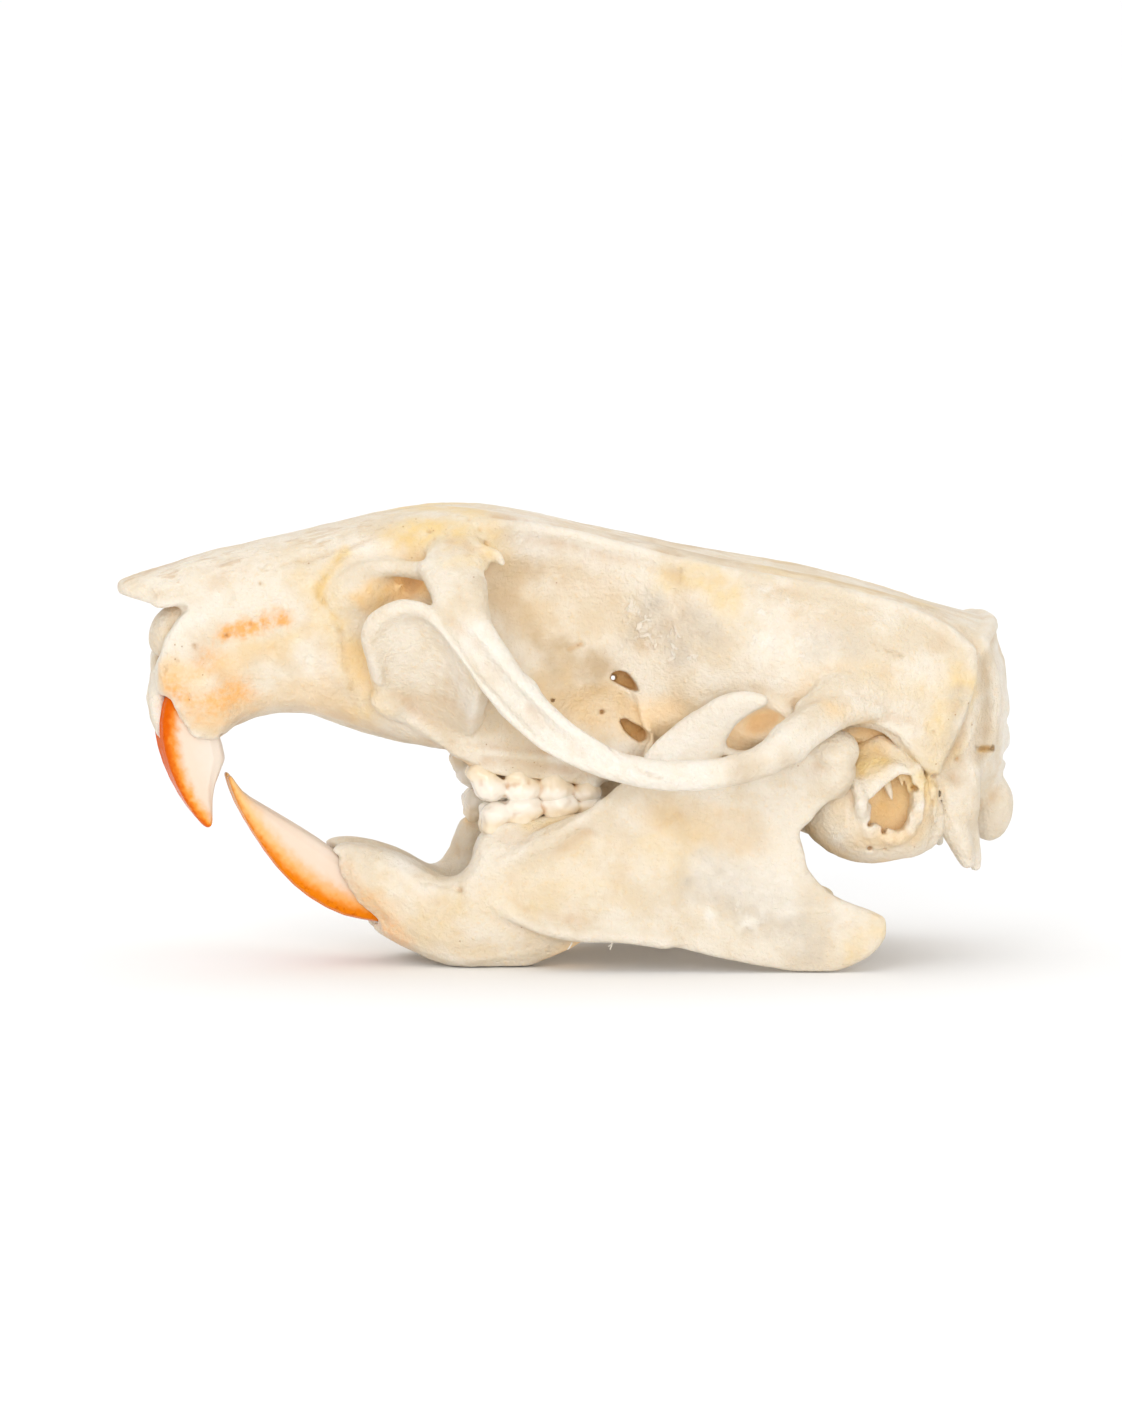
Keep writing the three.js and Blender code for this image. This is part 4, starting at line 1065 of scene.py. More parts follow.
# Grows one curled strand down from every root
def fibreTree(material):
    inputs = dict.fromkeys(("Geometry", "Length", "Thickness", "Curl", "Seed"))
    sheet, given, result = newGroup("driedFibres", inputs, ("Geometry",), "GeometryNodeTree")
    middleDrop = sheet.times(given["Length"], fibreDetail["middleDrop"])
    endDrop = sheet.times(given["Length"], fibreDetail["endDrop"])
    aside = sheet.times(given["Curl"], -1.0)
    middle = sheet.add("ShaderNodeCombineXYZ", Z=middleDrop).outputs[0]
    end = sheet.add("ShaderNodeCombineXYZ", X=aside, Z=endDrop).outputs[0]
    strand = sheet.add(
        "GeometryNodeCurveQuadraticBezier",
        Resolution=fibreDetail["steps"],
        Start=(0.0, 0.0, 0.0),
        Middle=middle,
        End=end,
    )
    ring = sheet.add(
        "GeometryNodeCurvePrimitiveCircle", Resolution=fibreDetail["sides"], Radius=given["Thickness"]
    )
    tube = sheet.add(
        "GeometryNodeCurveToMesh",
        Curve=strand.outputs[0],
        Profile_Curve=ring.outputs[0],
        Fill_Caps=True,
    )
    turn = sheet.add(
        "FunctionNodeRandomValue",
        {"data_type": "FLOAT_VECTOR"},
        Min=fibreDetail["leastTurn"],
        Max=fibreDetail["mostTurn"],
        Seed=given["Seed"],
    )
    spread = sheet.add(
        "GeometryNodeInstanceOnPoints",
        Points=given["Geometry"],
        Instance=tube.outputs[0],
        Rotation=turn.outputs["Value"],
    )
    whole = sheet.add("GeometryNodeRealizeInstances", Geometry=spread.outputs[0])
    dressed = sheet.add("GeometryNodeSetMaterial", Geometry=whole.outputs[0], Material=material)
    sheet.feed(result["Geometry"], dressed.outputs[0])
    return sheet.tree


fibreLook = fibreMaterial("driedFibre")
rootMesh = bpy.data.meshes.new("fibreRoots")
rootMesh.from_pydata([Vector(place) * mm for place in onSide(fibreDetail["roots"], nearSide)], [], [])
rootHolder = placed("fibreRoots", rootMesh)
grown = rootHolder.modifiers.new("fibres", "NODES")
grown.node_group = fibreTree(fibreLook)
for item in grown.node_group.interface.items_tree:
    if item.in_out == "INPUT" and item.name in ("Length", "Thickness", "Curl"):
        grown[item.identifier] = fibreDetail[item.name.lower()] * mm
    elif item.name == "Seed":
        grown[item.identifier] = fibreDetail["seed"]
bpy.context.view_layer.update()
graph = bpy.context.evaluated_depsgraph_get()
fibreMesh = bpy.data.meshes.new_from_object(rootHolder.evaluated_get(graph))
bpy.data.objects.remove(rootHolder)
fibres = placed("driedFibres", fibreMesh)

print("incisors")
incisorDetail = {
    "grow": 0.05,
    "socketGrow": 0.1,
    "socketSpan": (3.6, 6.2),
    "fine": 0.14,
    "broad": 0.2,
    "thinFrom": 0.02,
    "thinTo": 0.06,
    "thinGrow": 0.03,
    "upperFront": [[-19.4, 14.7], [-19.75, 14.0], [-20.1, 13.1], [-20.25, 11.9], [-20.1, 10.8],
                   [-19.7, 9.6], [-19.1, 8.4], [-18.5, 7.55], [-17.95, 7.0]],
    "lowerFront": [[-9.2, 2.2], [-11.0, 2.55], [-12.7, 3.45], [-14.2, 4.8], [-15.4, 6.4],
                   [-16.3, 8.0], [-16.85, 9.5]],
    "ragged": 0.2,
    "raggedGrain": 0.22,
    "raggedSeed": 19,
    "upperRoot": (7.2, 13.5),
    "lowerRoot": (9.5, 3.0),
    "upperNarrowing": 0.3,
    "lowerNarrowing": 0.55,
}
for row, word in itertools.product(("upper", "lower"), sideWords):
    node = row + "_incisor_" + word
    field = nodeField([node], fieldSettings["toothVoxel"])
    field.values = field.parts[node] - incisorDetail["grow"]
    if row == "lower":
        inSocket = 1 - smoothStep(*incisorDetail["socketSpan"], field.grid()[2])
        field.values = field.values - incisorDetail["socketGrow"] * inSocket
    field.settle(incisorDetail)
    piece = field.surface(word + row.title() + "Incisor")
    pieces[node] = piece
    x, y, z = placesOf(piece.data).T
    rail = curved([[a, 0, b] for a, b in incisorDetail[row + "Front"]])
    inward = pathDistance(x, 0 * y, z, rail, np.zeros(len(rail)))
    ragged = layeredNoise(x, y, z, incisorDetail["raggedGrain"], incisorDetail["raggedSeed"])
    root = smoothStep(*incisorDetail[row + "Root"], z)
    narrowing = incisorDetail[row + "Narrowing"] * (1 - root)
    mark(piece, "inward", inward + incisorDetail["ragged"] * ragged + narrowing)
    mark(piece, "root", root)

print("stains and seams")


# One patch of a tone round a line or a spot: a real stain, or painted shade, light or glow, as noted at
# each tone
def stain(path, reach, strength, rough=0.7, grain=1.5):
    return {"path": path, "reach": reach, "strength": strength, "rough": rough, "grain": grain}


def seamLine(path, width=0.2, strength=0.6, sides=bothSides):
    return {"path": path, "width": width, "strength": strength, "sides": sides}


# Each tone's patches: real stains, and painted shade, light and glow as noted at each tone; the order of
# tones and patches sets their seeds
boneMarks = {
    "orange": [
        stain([[-19.7, 2.5, 14.1], [-18.2, 2.8, 13.4], [-16.7, 2.9, 14.0]], 1.7, 0.75),
        stain([[-18.9, 2.9, 14.6], [-17.9, 3.0, 15.5]], 0.9, 0.4),
        stain([[-17.2, 3.0, 16.85], [-15.9, 3.0, 17.15], [-14.5, 3.2, 17.45]], 0.75, 0.95, grain=0.6),
        stain([[-11.6, 2.6, 4.4], [-10.9, 2.7, 3.4], [-9.6, 2.6, 2.2], [-8.6, 2.4, 1.4]], 1.4, 0.45),
    ],
    "yellow": [
        stain([[-8.4, 3.4, 21.2], [-7.0, 3.8, 21.6], [-4.6, 4.8, 21.2]], 1.9, 0.75),
        stain([[-6.2, 6.0, 20.0], [-4.9, 5.6, 20.3]], 1.1, 0.55),
        stain([[-7.6, 0.6, 22.7], [-5.6, 1.6, 22.7], [-4.2, 3.0, 22.5]], 1.6, 0.7),
        stain([[-12.6, 3.2, 19.2], [-11.5, 3.5, 17.2], [-10.5, 3.6, 14.6], [-10.1, 3.4, 13.2],
            [-10.2, 3.0, 12.0]], 1.7, 0.5),
        stain([[-11.2, 2.9, 20.8], [-12.3, 3.2, 19.5], [-12.6, 3.3, 18.7], [-11.8, 3.4, 17.7],
            [-11.5, 3.5, 17.0]], 0.45, 0.8, rough=0.5, grain=0.7),
        stain([[4.8, 4.9, 19.4], [6.2, 5.3, 19.4], [7.8, 6.2, 18.5]], 1.5, 0.5),
        stain([[-15.6, 3.1, 16.2], [-14.0, 3.2, 16.5], [-12.6, 3.4, 17.0]], 1.0, 0.4),
        stain([[-9.0, 2.4, 3.4], [-5.0, 3.9, 3.0], [-1.0, 4.8, 4.0], [3.0, 5.6, 5.4], [5.6, 6.4, 6.4]],
            2.4, 0.3),
        stain([[-2.0, 4.2, 7.1], [0.4, 4.6, 7.4]], 0.8, 0.5),
        stain([[17.4, 7.2, 10.6], [18.6, 7.1, 12.4], [19.2, 6.9, 14.4]], 1.6, 0.55),
        stain([[14.0, 7.8, 14.2], [16.6, 7.6, 14.0]], 1.3, 0.25),
        stain([[13.4, 6.6, 9.8], [15.0, 7.2, 10.4], [17.6, 7.0, 8.6]], 1.5, 0.8),
        stain([[13.8, 7.8, 1.4], [15.0, 7.8, 2.0]], 1.3, 0.4),
        stain([[18.0, 3.0, 17.8], [14.0, 4.0, 18.9], [9.0, 3.4, 20.0]], 1.7, 0.45),
    ],
    # Tan stains; those in the eye socket, in the openings, in the recesses under the temple and the arch,
    # along the beds of the cheek teeth and under the jaws are painted shade
    "tan": [
        stain([[-18.2, 2.8, 12.4], [-15.9, 2.5, 12.9], [-13.4, 2.6, 13.5], [-11.2, 2.5, 12.7]], 1.6,
            0.3),
        stain([[-10.7, 3.9, 15.8], [-10.3, 4.1, 14.4]], 1.0, 0.55),
        stain([[12.3, 9.6, 13.2], [13.5, 8.2, 12.6]], 1.1, 0.5),
        stain([[-0.6, 3.2, 13.4], [1.6, 3.4, 13.0], [3.2, 4.0, 12.2], [5.2, 5.4, 12.8]], 2.1, 0.45),
        stain([[-9.6, 3.6, 18.8], [-8.0, 3.4, 19.3]], 1.7, 0.8),
        stain([[13.0, 5.6, 11.4], [15.0, 5.8, 11.2]], 1.5, 0.8),
        stain([[13.1, 6.2, 8.9], [14.6, 6.4, 6.9], [17.3, 6.6, 8.4], [16.0, 6.8, 9.9]], 1.1, 0.4),
        stain([[13.4, 6.6, 8.2], [14.2, 6.8, 7.0], [16.2, 7.0, 6.6], [17.2, 7.0, 7.6]], 1.2, 0.4),
        stain([[15.4, 5.6, 8.2]], 2.1, 1.0, rough=0.2),
        stain([[11.6, 4.6, 7.6], [12.6, 5.6, 6.2], [15.0, 5.4, 5.4]], 1.7, 0.5),
        stain([[-3.6, 5.2, 12.8], [-2.0, 4.4, 12.6]], 1.5, 0.5),
        stain([[-3.4, 3.4, 20.0], [-2.6, 3.0, 18.4], [-1.0, 2.9, 17.0]], 1.5, 0.15),
        stain([[-17.2, 2.9, 15.3], [-16.2, 3.0, 15.8], [-15.0, 3.1, 15.9]], 1.2, 0.45),
        stain([[-19.9, 2.6, 14.7], [-18.6, 2.9, 14.2]], 1.2, 0.5),
        stain([[-19.0, 0.8, 17.5], [-19.5, 1.2, 16.6]], 0.8, 0.5),
        stain([[-4.9, 3.0, 9.9], [-2.0, 3.0, 9.6], [1.4, 3.0, 9.0]], 1.0, 0.9),
        stain([[-4.3, 3.0, 6.9], [-1.5, 3.0, 7.4], [1.5, 3.0, 7.8]], 0.8, 0.7),
        stain([[20.2, 5.9, 10.82], [20.9, 4.9, 10.75]], 0.3, 1.0, rough=0.2),
        stain([[4.4, 6.2, 7.8], [6.3, 6.6, 7.0], [8.0, 6.9, 6.6]], 1.8, 0.25),
        stain([[-1.4, 3.2, 0.9], [0.9, 4.0, 1.0], [4.6, 5.0, 1.0]], 1.2, 0.9, rough=0.2),
    ],
    # Painted shade inside the two openings of the eye socket; the last patch darkens the fine groove at
    # the back
    "brown": [
        stain([[2.5, 2.5, 14.35], [3.0, 2.6, 14.0]], 0.9, 1.0, rough=0.1),
        stain([[2.8, 2.6, 11.9], [3.5, 2.7, 11.6]], 0.8, 1.0, rough=0.1),
        stain([[20.2, 5.9, 10.82], [20.9, 5.2, 10.75]], 0.25, 1.0, rough=0.2),
    ],
    # Painted glow: emission on thin bone in shaded places, standing in for the daylight that comes
    # through it
    "backLight": [
        stain([[7.6, 5.6, 11.2], [8.2, 6.2, 12.0], [9.6, 6.8, 12.6]], 1.7, 1.0, rough=0.1),
        stain([[-8.6, 3.4, 19.0], [-7.6, 3.5, 19.2]], 1.2, 0.5, rough=0.1),
        stain([[3.2, 4.4, 12.6], [4.4, 5.4, 12.9]], 1.3, 0.4, rough=0.1),
        stain([[-0.4, 3.4, 1.0], [1.6, 3.9, 1.1], [4.6, 4.6, 1.1]], 1.3, 0.8, rough=0.1),
        stain([[-6.6, 1.6, 6.2], [-5.0, 2.2, 7.2]], 1.5, 0.4, rough=0.1),
        stain([[13.6, 6.0, 6.2], [15.0, 6.0, 5.5], [16.6, 6.0, 5.6]], 1.3, 0.28, rough=0.1),
    ],
    # Painted shade on places that lie in shadow
    "shade": [
        stain([[-0.8, 3.4, 15.6], [-0.1, 3.5, 14.0], [1.4, 3.6, 14.8]], 1.9, 0.9),
        stain([[-2.2, 3.1, 17.3], [-3.0, 3.1, 18.3], [-3.6, 3.6, 19.8], [-1.8, 3.4, 19.8]], 1.5, 0.6),
        stain([[-5.0, 7.1, 19.7], [-4.6, 7.9, 18.2]], 0.9, 0.4),
        stain([[20.5, 5.7, 15.0], [20.5, 5.8, 13.3], [20.2, 6.0, 10.8]], 1.1, 0.7),
        stain([[18.7, 7.0, 11.2], [18.7, 6.6, 9.8]], 1.0, 0.6),
        stain([[-12.2, 3.0, 13.6], [-11.0, 3.2, 13.9]], 1.1, 0.35),
        stain([[14.3, 6.6, 11.6], [13.4, 7.4, 12.4]], 1.1, 0.5),
        stain([[10.6, 9.5, 12.5], [12.4, 8.6, 13.4]], 1.3, 0.35),
        stain([[7.4, 11.0, 10.1], [9.4, 10.5, 11.0]], 1.2, 0.5),
        stain([[4.4, 6.2, 7.8], [6.3, 6.6, 7.0], [8.0, 6.9, 6.6]], 1.6, 0.35),
        stain([[-3.2, 4.2, 21.6], [-2.2, 3.8, 20.9], [-2.6, 3.4, 19.6]], 1.2, 0.45),
        stain([[19.6, 5.8, 9.2], [19.7, 5.6, 7.8]], 1.2, 0.4),
        stain([[3.0, 2.4, 21.0], [8.0, 3.0, 20.1], [13.0, 3.6, 19.0], [17.6, 4.0, 17.5]], 1.5, 0.5,
            grain=0.7),
    ],
    # Grey of thin bone; the patch on the crest at the back of the head is painted shade
    "grey": [
        stain([[4.0, 4.7, 18.1], [3.0, 4.0, 16.5], [4.3, 4.8, 16.9], [5.2, 5.5, 15.8]], 1.3, 0.65),
        stain([[5.6, 5.8, 17.4], [6.8, 6.5, 16.8]], 1.2, 0.55),
        stain([[18.9, 7.2, 13.4], [18.7, 7.2, 11.4]], 1.1, 0.5),
        stain([[11.5, 7.2, 16.6], [13.4, 7.4, 16.0]], 1.3, 0.4),
        stain([[6.4, 6.9, 4.6], [8.6, 7.2, 3.4], [11.6, 7.5, 2.0]], 1.9, 0.65),
        stain([[20.4, 1.0, 16.6], [17.0, 1.6, 18.0]], 1.4, 0.4),
    ],
    # Pale patches of the bone; those on the front of the jaws and on the underside of the ear capsules
    # are painted light on places in shade
    "white": [
        stain([[9.7, 6.6, 17.8], [9.4, 7.2, 16.5], [8.6, 7.2, 15.7]], 1.2, 0.55, grain=0.8),
        stain([[6.2, 6.6, 14.6], [8.0, 7.0, 14.8], [10.2, 7.3, 14.6]], 1.1, 0.6),
        stain([[-6.6, 7.2, 14.6], [-5.6, 7.0, 13.2], [-4.2, 5.5, 11.6]], 1.3, 0.5),
        stain([[-10.4, 3.0, 20.9], [-8.8, 3.6, 20.6]], 1.1, 0.5),
        stain([[6.4, 7.0, 2.93]], 0.6, 0.8, grain=0.4),
        stain([[8.4, 7.3, 2.55]], 0.75, 0.8, grain=0.4),
        stain([[10.0, 7.5, 3.35], [10.4, 7.5, 3.3]], 0.6, 0.8, grain=0.4),
        stain([[12.4, 7.7, 3.15], [13.0, 7.7, 3.2]], 0.5, 0.7, grain=0.4),
        stain([[6.6, 6.9, 5.0], [8.4, 7.2, 4.2], [10.0, 7.4, 4.0]], 1.9, 0.55),
        stain([[-13.4, 3.3, 16.0], [-12.6, 3.4, 15.0]], 1.2, 0.6),
        stain([[-19.6, 2.6, 17.4], [-17.4, 2.8, 18.6]], 1.3, 0.55),
        stain([[-5.5, 8.6, 17.0], [-3.5, 9.8, 14.6], [-1.0, 10.9, 12.0], [2.0, 11.3, 10.5],
            [5.0, 11.2, 10.2]], 1.7, 0.85, rough=0.3),
        stain([[7.0, 10.8, 10.6], [9.0, 10.3, 11.4]], 1.6, 0.15, rough=0.3),
        stain([[-2.0, 3.6, 21.2], [-0.5, 3.5, 21.0], [1.0, 3.6, 20.6]], 1.3, 0.6),
        stain([[-8.0, 2.4, 5.6], [-6.6, 3.0, 6.2], [-5.2, 3.4, 6.9]], 1.4, 0.9),
        stain([[-8.0, 3.0, 3.6], [-6.4, 3.6, 4.4]], 1.5, 0.5),
        stain([[-3.0, 4.6, 2.5], [-0.4, 5.2, 2.3]], 1.2, 0.5),
        stain([[4.5, 6.8, 11.0], [6.5, 7.3, 12.6], [8.0, 7.8, 13.4]], 1.4, 1.0, rough=0.3),
        stain([[9.0, 7.6, 10.0], [11.5, 7.9, 10.5]], 1.5, 0.45),
        stain([[21.5, 2.6, 7.4], [21.8, 2.6, 9.0]], 1.6, 0.6),
        stain([[21.6, 3.6, 15.0], [22.0, 3.4, 12.6], [21.9, 3.2, 10.6]], 1.6, 0.8),
        stain([[14.6, 6.0, 5.8], [16.6, 6.0, 5.8]], 1.4, 0.5),
    ],
    "fleck": [
        stain([[3.1, 4.1, 17.7], [3.6, 4.3, 16.3], [4.3, 4.8, 15.7], [5.6, 5.8, 15.6],
            [5.2, 5.5, 16.4]], 1.2, 1.0),
        stain([[7.6, 7.1, 2.8], [9.5, 7.4, 2.6], [11.8, 7.6, 2.4]], 1.3, 0.5),
        stain([[9.8, 6.4, 18.4], [9.4, 7.3, 16.6], [10.8, 7.7, 15.7]], 1.7, 0.6),
        stain([[-13.2, 3.3, 16.2], [-12.4, 3.4, 14.6]], 1.3, 0.6),
    ],
    "porous": [
        stain([[-8.4, 3.4, 21.2], [-6.0, 4.4, 21.3], [-4.2, 5.2, 20.8]], 1.9, 0.9, rough=0.3),
        stain([[-19.2, 2.5, 16.0], [-18.2, 2.8, 14.4]], 1.5, 0.9, rough=0.3),
        stain([[-4.4, 4.2, 10.6], [-1.0, 4.2, 10.4]], 0.9, 0.8, rough=0.3),
        stain([[13.4, 6.6, 6.6], [16.6, 6.6, 6.2], [17.6, 6.8, 8.2]], 1.3, 0.7, rough=0.3),
        stain([[17.6, 7.2, 10.6], [18.8, 7.0, 12.6]], 1.2, 0.6, rough=0.3),
    ],
    "striae": [
        stain([[-22.0, 0.4, 19.3], [-16.0, 1.2, 20.8], [-9.0, 1.6, 22.2]], 2.6, 1.0),
        stain([[-19.0, 2.4, 18.6], [-13.0, 3.0, 18.8]], 1.8, 0.7),
        stain([[1.0, 2.0, 21.6], [8.0, 3.0, 20.1], [14.0, 3.8, 18.8], [18.4, 4.2, 17.3]], 2.2, 1.0),
    ],
    "crackle": [
        stain([[3.0, 4.4, 16.6], [5.6, 5.8, 17.0]], 1.8, 0.8),
        stain([[-18.6, 2.6, 15.0], [-15.0, 3.1, 16.4], [-11.6, 3.4, 16.4]], 2.0, 0.6),
        stain([[12.6, 6.2, 7.0], [16.5, 6.4, 6.6], [18.6, 6.6, 9.0], [20.4, 5.4, 12.5]], 2.2, 0.6),
    ],
}
boneSeams = [
    seamLine([[-21.0, 1.8, 18.6], [-17.1, 2.35, 19.3], [-13.4, 2.7, 20.3], [-11.4, 2.9, 20.9],
        [-8.5, 2.6, 21.9]]),
    seamLine([[-11.2, 2.9, 20.8], [-12.3, 3.2, 19.5], [-12.6, 3.3, 18.7], [-11.8, 3.4, 17.7],
        [-11.5, 3.5, 17.0], [-11.3, 3.4, 15.7], [-10.9, 3.2, 13.9], [-10.7, 2.7, 12.4]]),
    seamLine([[-22.3, 0, 19.1], [-16.0, 0, 21.0], [-10.0, 0, 22.3], [-5.0, 0, 22.75], [0.0, 0, 21.85],
        [5.0, 0, 20.7]], sides=(nearSide,)),
    seamLine([[4.6, 0, 20.8], [4.9, 2.2, 20.7], [5.4, 4.4, 20.3], [5.0, 5.2, 18.8], [4.2, 5.0, 17.0]]),
    seamLine([[5.4, 6.0, 17.4], [8.0, 7.0, 17.8], [11.0, 7.3, 17.5], [14.0, 7.5, 16.6],
        [17.2, 7.3, 15.0]]),
    seamLine([[15.8, 0, 18.35], [16.0, 3.0, 18.2], [17.0, 5.4, 17.4]]),
    seamLine([[0.6, 11.0, 12.0], [1.6, 11.4, 11.0], [3.2, 11.7, 10.2]], width=0.14),
    seamLine([[20.02, 6.25, 10.82], [20.4, 5.85, 10.8], [20.8, 5.43, 10.78], [21.12, 5.1, 10.76]],
        width=0.16, strength=2.2),
]
markSettings = {
    "creaseReach": 0.22,
    "hollowReach": 0.8,
    "seed": 100,
    "toneSeeds": 60,
    "stainSeeds": 5,
    "solidTo": 0.1,
    "seamSway": 0.09,
    "seamGrain": 0.7,
    "seamSeeds": (61, 81, 71),
}


# Strength, from 0 to 1, of a mark that lies round a line or a spot, whether a real stain or painted
# shade, light or glow
def markStrengthOn(places, stainsAndShading, seed):
    total = np.zeros(len(places), np.float32)
    for number, spot in enumerate(stainsAndShading):
        for side in bothSides:
            path = onSide(spot["path"], side)
            path = curved(path) if len(path) > 1 else np.vstack([path, path + 1e-3])
            away = pathDistance(*places.T, path, np.zeros(len(path))) / spot["reach"]
            near = np.flatnonzero(away < 1 + spot["rough"])
            ownSeed = seed + markSettings["stainSeeds"] * number
            ragged = spot["rough"] * layeredNoise(*places[near].T, spot["grain"], ownSeed)
            amount = 1 - smoothStep(markSettings["solidTo"], 1.0, away[near] + ragged)
            total[near] = np.maximum(total[near], spot["strength"] * amount)
    return total


# Fine wavering line where two bones meet
def seamOn(places, seams):
    swayed = []
    for values, seed in zip(places.T, markSettings["seamSeeds"]):
        sway = layeredNoise(*places.T, markSettings["seamGrain"], seed)
        swayed.append(values + markSettings["seamSway"] * sway)
    total = np.zeros(len(places), np.float32)
    for seam in seams:
        for side in seam["sides"]:
            path = curved(onSide(seam["path"], side))
            away = pathDistance(*swayed, path, np.zeros(len(path)))
            total = np.maximum(total, seam["strength"] * (1 - smoothStep(0.0, seam["width"], away)))
    return total


for node, field in fields.items():
    piece = pieces[node]
    places = placesOf(piece.data)
    # Crease and hollow feed painted shade and painted glow; edge feeds a painted highlight
    depths = hollowOn(field, places, markSettings["creaseReach"], markSettings["hollowReach"])
    for name, values in zip(("crease", "hollow", "edge"), depths):
        mark(piece, name, values)
    for number, (tone, stainsAndShading) in enumerate(boneMarks.items()):
        seed = markSettings["seed"] + markSettings["toneSeeds"] * number
        mark(piece, tone, markStrengthOn(places, stainsAndShading, seed))
    mark(piece, "seam", seamOn(places, boneSeams))

# Tones, then how much of each effect shows in the colour and in the relief
boneLook = {
    "cream": toned(222, 206, 181),
    "pale": toned(231, 220, 202),
    "white": toned(237, 230, 218),
    "yellow": toned(231, 202, 144),
    "orange": toned(235, 172, 100),
    "tan": toned(236, 196, 132),
    "grey": toned(203, 191, 174),
    "shade": toned(199, 177, 146),
    "brown": toned(176, 134, 76),
    "honey": toned(236, 200, 138),
    "creviceDirtAndShade": toned(192, 142, 80),
    "seam": toned(190, 150, 98),
    "pore": toned(170, 122, 70),
    # Painted glow: emission tones for the deep places and the backLight patches; dark means no glow
    "glow": toned(232, 202, 156),
    "backLight": [1.9, 1.15, 0.48, 1.0],
    "dark": [0.0, 0.0, 0.0, 1.0],
    # Scale of each mark's mottling, then how far it breaks up; shade and parts of tan, grey and brown are
    # painted shade, and parts of white painted light
    "stainsAndShading": {
        "shade": (1300.0, 2.0),
        "yellow": (1700.0, 2.2),
        "orange": (3600.0, 2.6),
        "tan": (1100.0, 1.4),
        "brown": (1500.0, 0.6),
        "grey": (2400.0, 2.0),
        "white": (1800.0, 1.6),
    },
    "speckShare": 0.26,
    "edgeShare": 0.75,
    "fleckSizes": ((750.0, 0.6), (1500.0, 0.85)),  # scale, then share
    "streakRange": (0.45, 0.62, 0.0, 0.35),
    "crackShare": 0.16,
    "hollowShare": 0.5,
    "creaseShare": 0.55,
    "seamShare": 0.5,
    "poreShare": 0.55,
    "poreScale": 3000.0,
    "poreSize": 0.14,
    "poreMost": 0.4,
    "poreLeast": 0.008,
    "fleckRelief": 0.28,
    "crackRelief": -0.3,
    "seamRelief": -0.9,
    "poreRelief": -0.8,
    "roughLow": 0.34,
    "roughHigh": 0.5,
    "bumpStrength": 0.9,
    "bumpDepth": 0.18,
    "shader": {
        "Emission Strength": 0.15,
        "Subsurface Weight": 0.14,
        "Subsurface Radius": (1.0, 0.62, 0.35),
        "Subsurface Scale": 0.3 * mm,
        "Specular IOR Level": 0.35,
    },
}


def boneMaterial(name):
    look = boneLook
    material, sheet, shader, place, grain = newLook(name, look["shader"])
    colour = sheet.mix(grain["Tone"], look["cream"], look["pale"])
    colour = sheet.tint(colour, grain["Speck"], look["speckShare"], look["honey"])
    # Painted highlight: places that stand out are tinted towards white
    colour = sheet.tint(colour, sheet.markOf("edge"), look["edgeShare"], look["white"])
    for tone, (scale, broken) in look["stainsAndShading"].items():
        mottling = {"Strength": sheet.markOf(tone), "Scale": scale, "Break": broken}
        amount = sheet.group(mottleTree, Place=place, **mottling)["Amount"]
        colour = sheet.mix(amount, colour, look[tone])
    fleckMark = sheet.markOf("fleck")
    for scale, share in look["fleckSizes"]:
        flecks = sheet.group(fleckTree, Place=place, Strength=fleckMark, Scale=scale)["Amount"]
        colour = sheet.tint(colour, flecks, share, look["white"])
    streaks = sheet.group(streakTree, Place=place, Strength=sheet.markOf("striae"))["Height"]
    colour = sheet.mix(sheet.ranged(streaks, *look["streakRange"]), colour, look["seam"])
    cracks = sheet.group(crackTree, Place=place, Strength=sheet.markOf("crackle"))["Crack"]
    colour = sheet.tint(colour, cracks, look["crackShare"], look["seam"])
    hollow = sheet.markOf("hollow")
    # Painted glow: emission in the glow tone in the deep places, standing in for light that comes through
    # thin bone; none where the brown mark lies, and the brighter backLight tone where the backLight mark
    # lies
    glow = sheet.mix(hollow, look["dark"], look["glow"])
    glow = sheet.mix(sheet.markOf("brown"), glow, look["dark"])
    glow = sheet.mix(sheet.markOf("backLight"), glow, look["backLight"])
    sheet.feed(shader["Emission Color"], glow)
    # Painted shade, with some dirt in the creases: deep hollows are tinted towards honey and creases
    # towards dark brown
    colour = sheet.tint(colour, hollow, look["hollowShare"], look["honey"])
    colour = sheet.tint(colour, sheet.markOf("crease"), look["creaseShare"], look["creviceDirtAndShade"])
    seam = sheet.markOf("seam")
    colour = sheet.tint(colour, seam, look["seamShare"], look["seam"])
    share = sheet.math("MULTIPLY_ADD", sheet.markOf("porous"), look["poreMost"], look["poreLeast"])
    spread = {"Scale": look["poreScale"], "Share": share, "Size": look["poreSize"]}
    pores = sheet.group(poreTree, Place=place, **spread)["Pore"]
    colour = sheet.tint(colour, pores, look["poreShare"], look["pore"])
    sheet.feed(shader["Base Color"], colour)
    gloss = sheet.ranged(grain["Tone"], 0.0, 1.0, look["roughHigh"], look["roughLow"])
    sheet.feed(shader["Roughness"], gloss)
    relief = sheet.math("ADD", grain["Height"], streaks)
    for effect, height in (("fleck", flecks), ("crack", cracks), ("seam", seam), ("pore", pores)):
        relief = sheet.math("MULTIPLY_ADD", height, look[effect + "Relief"], relief)
    sheet.feed(shader["Normal"], sheet.bump(relief, look["bumpStrength"], look["bumpDepth"]))
    return material


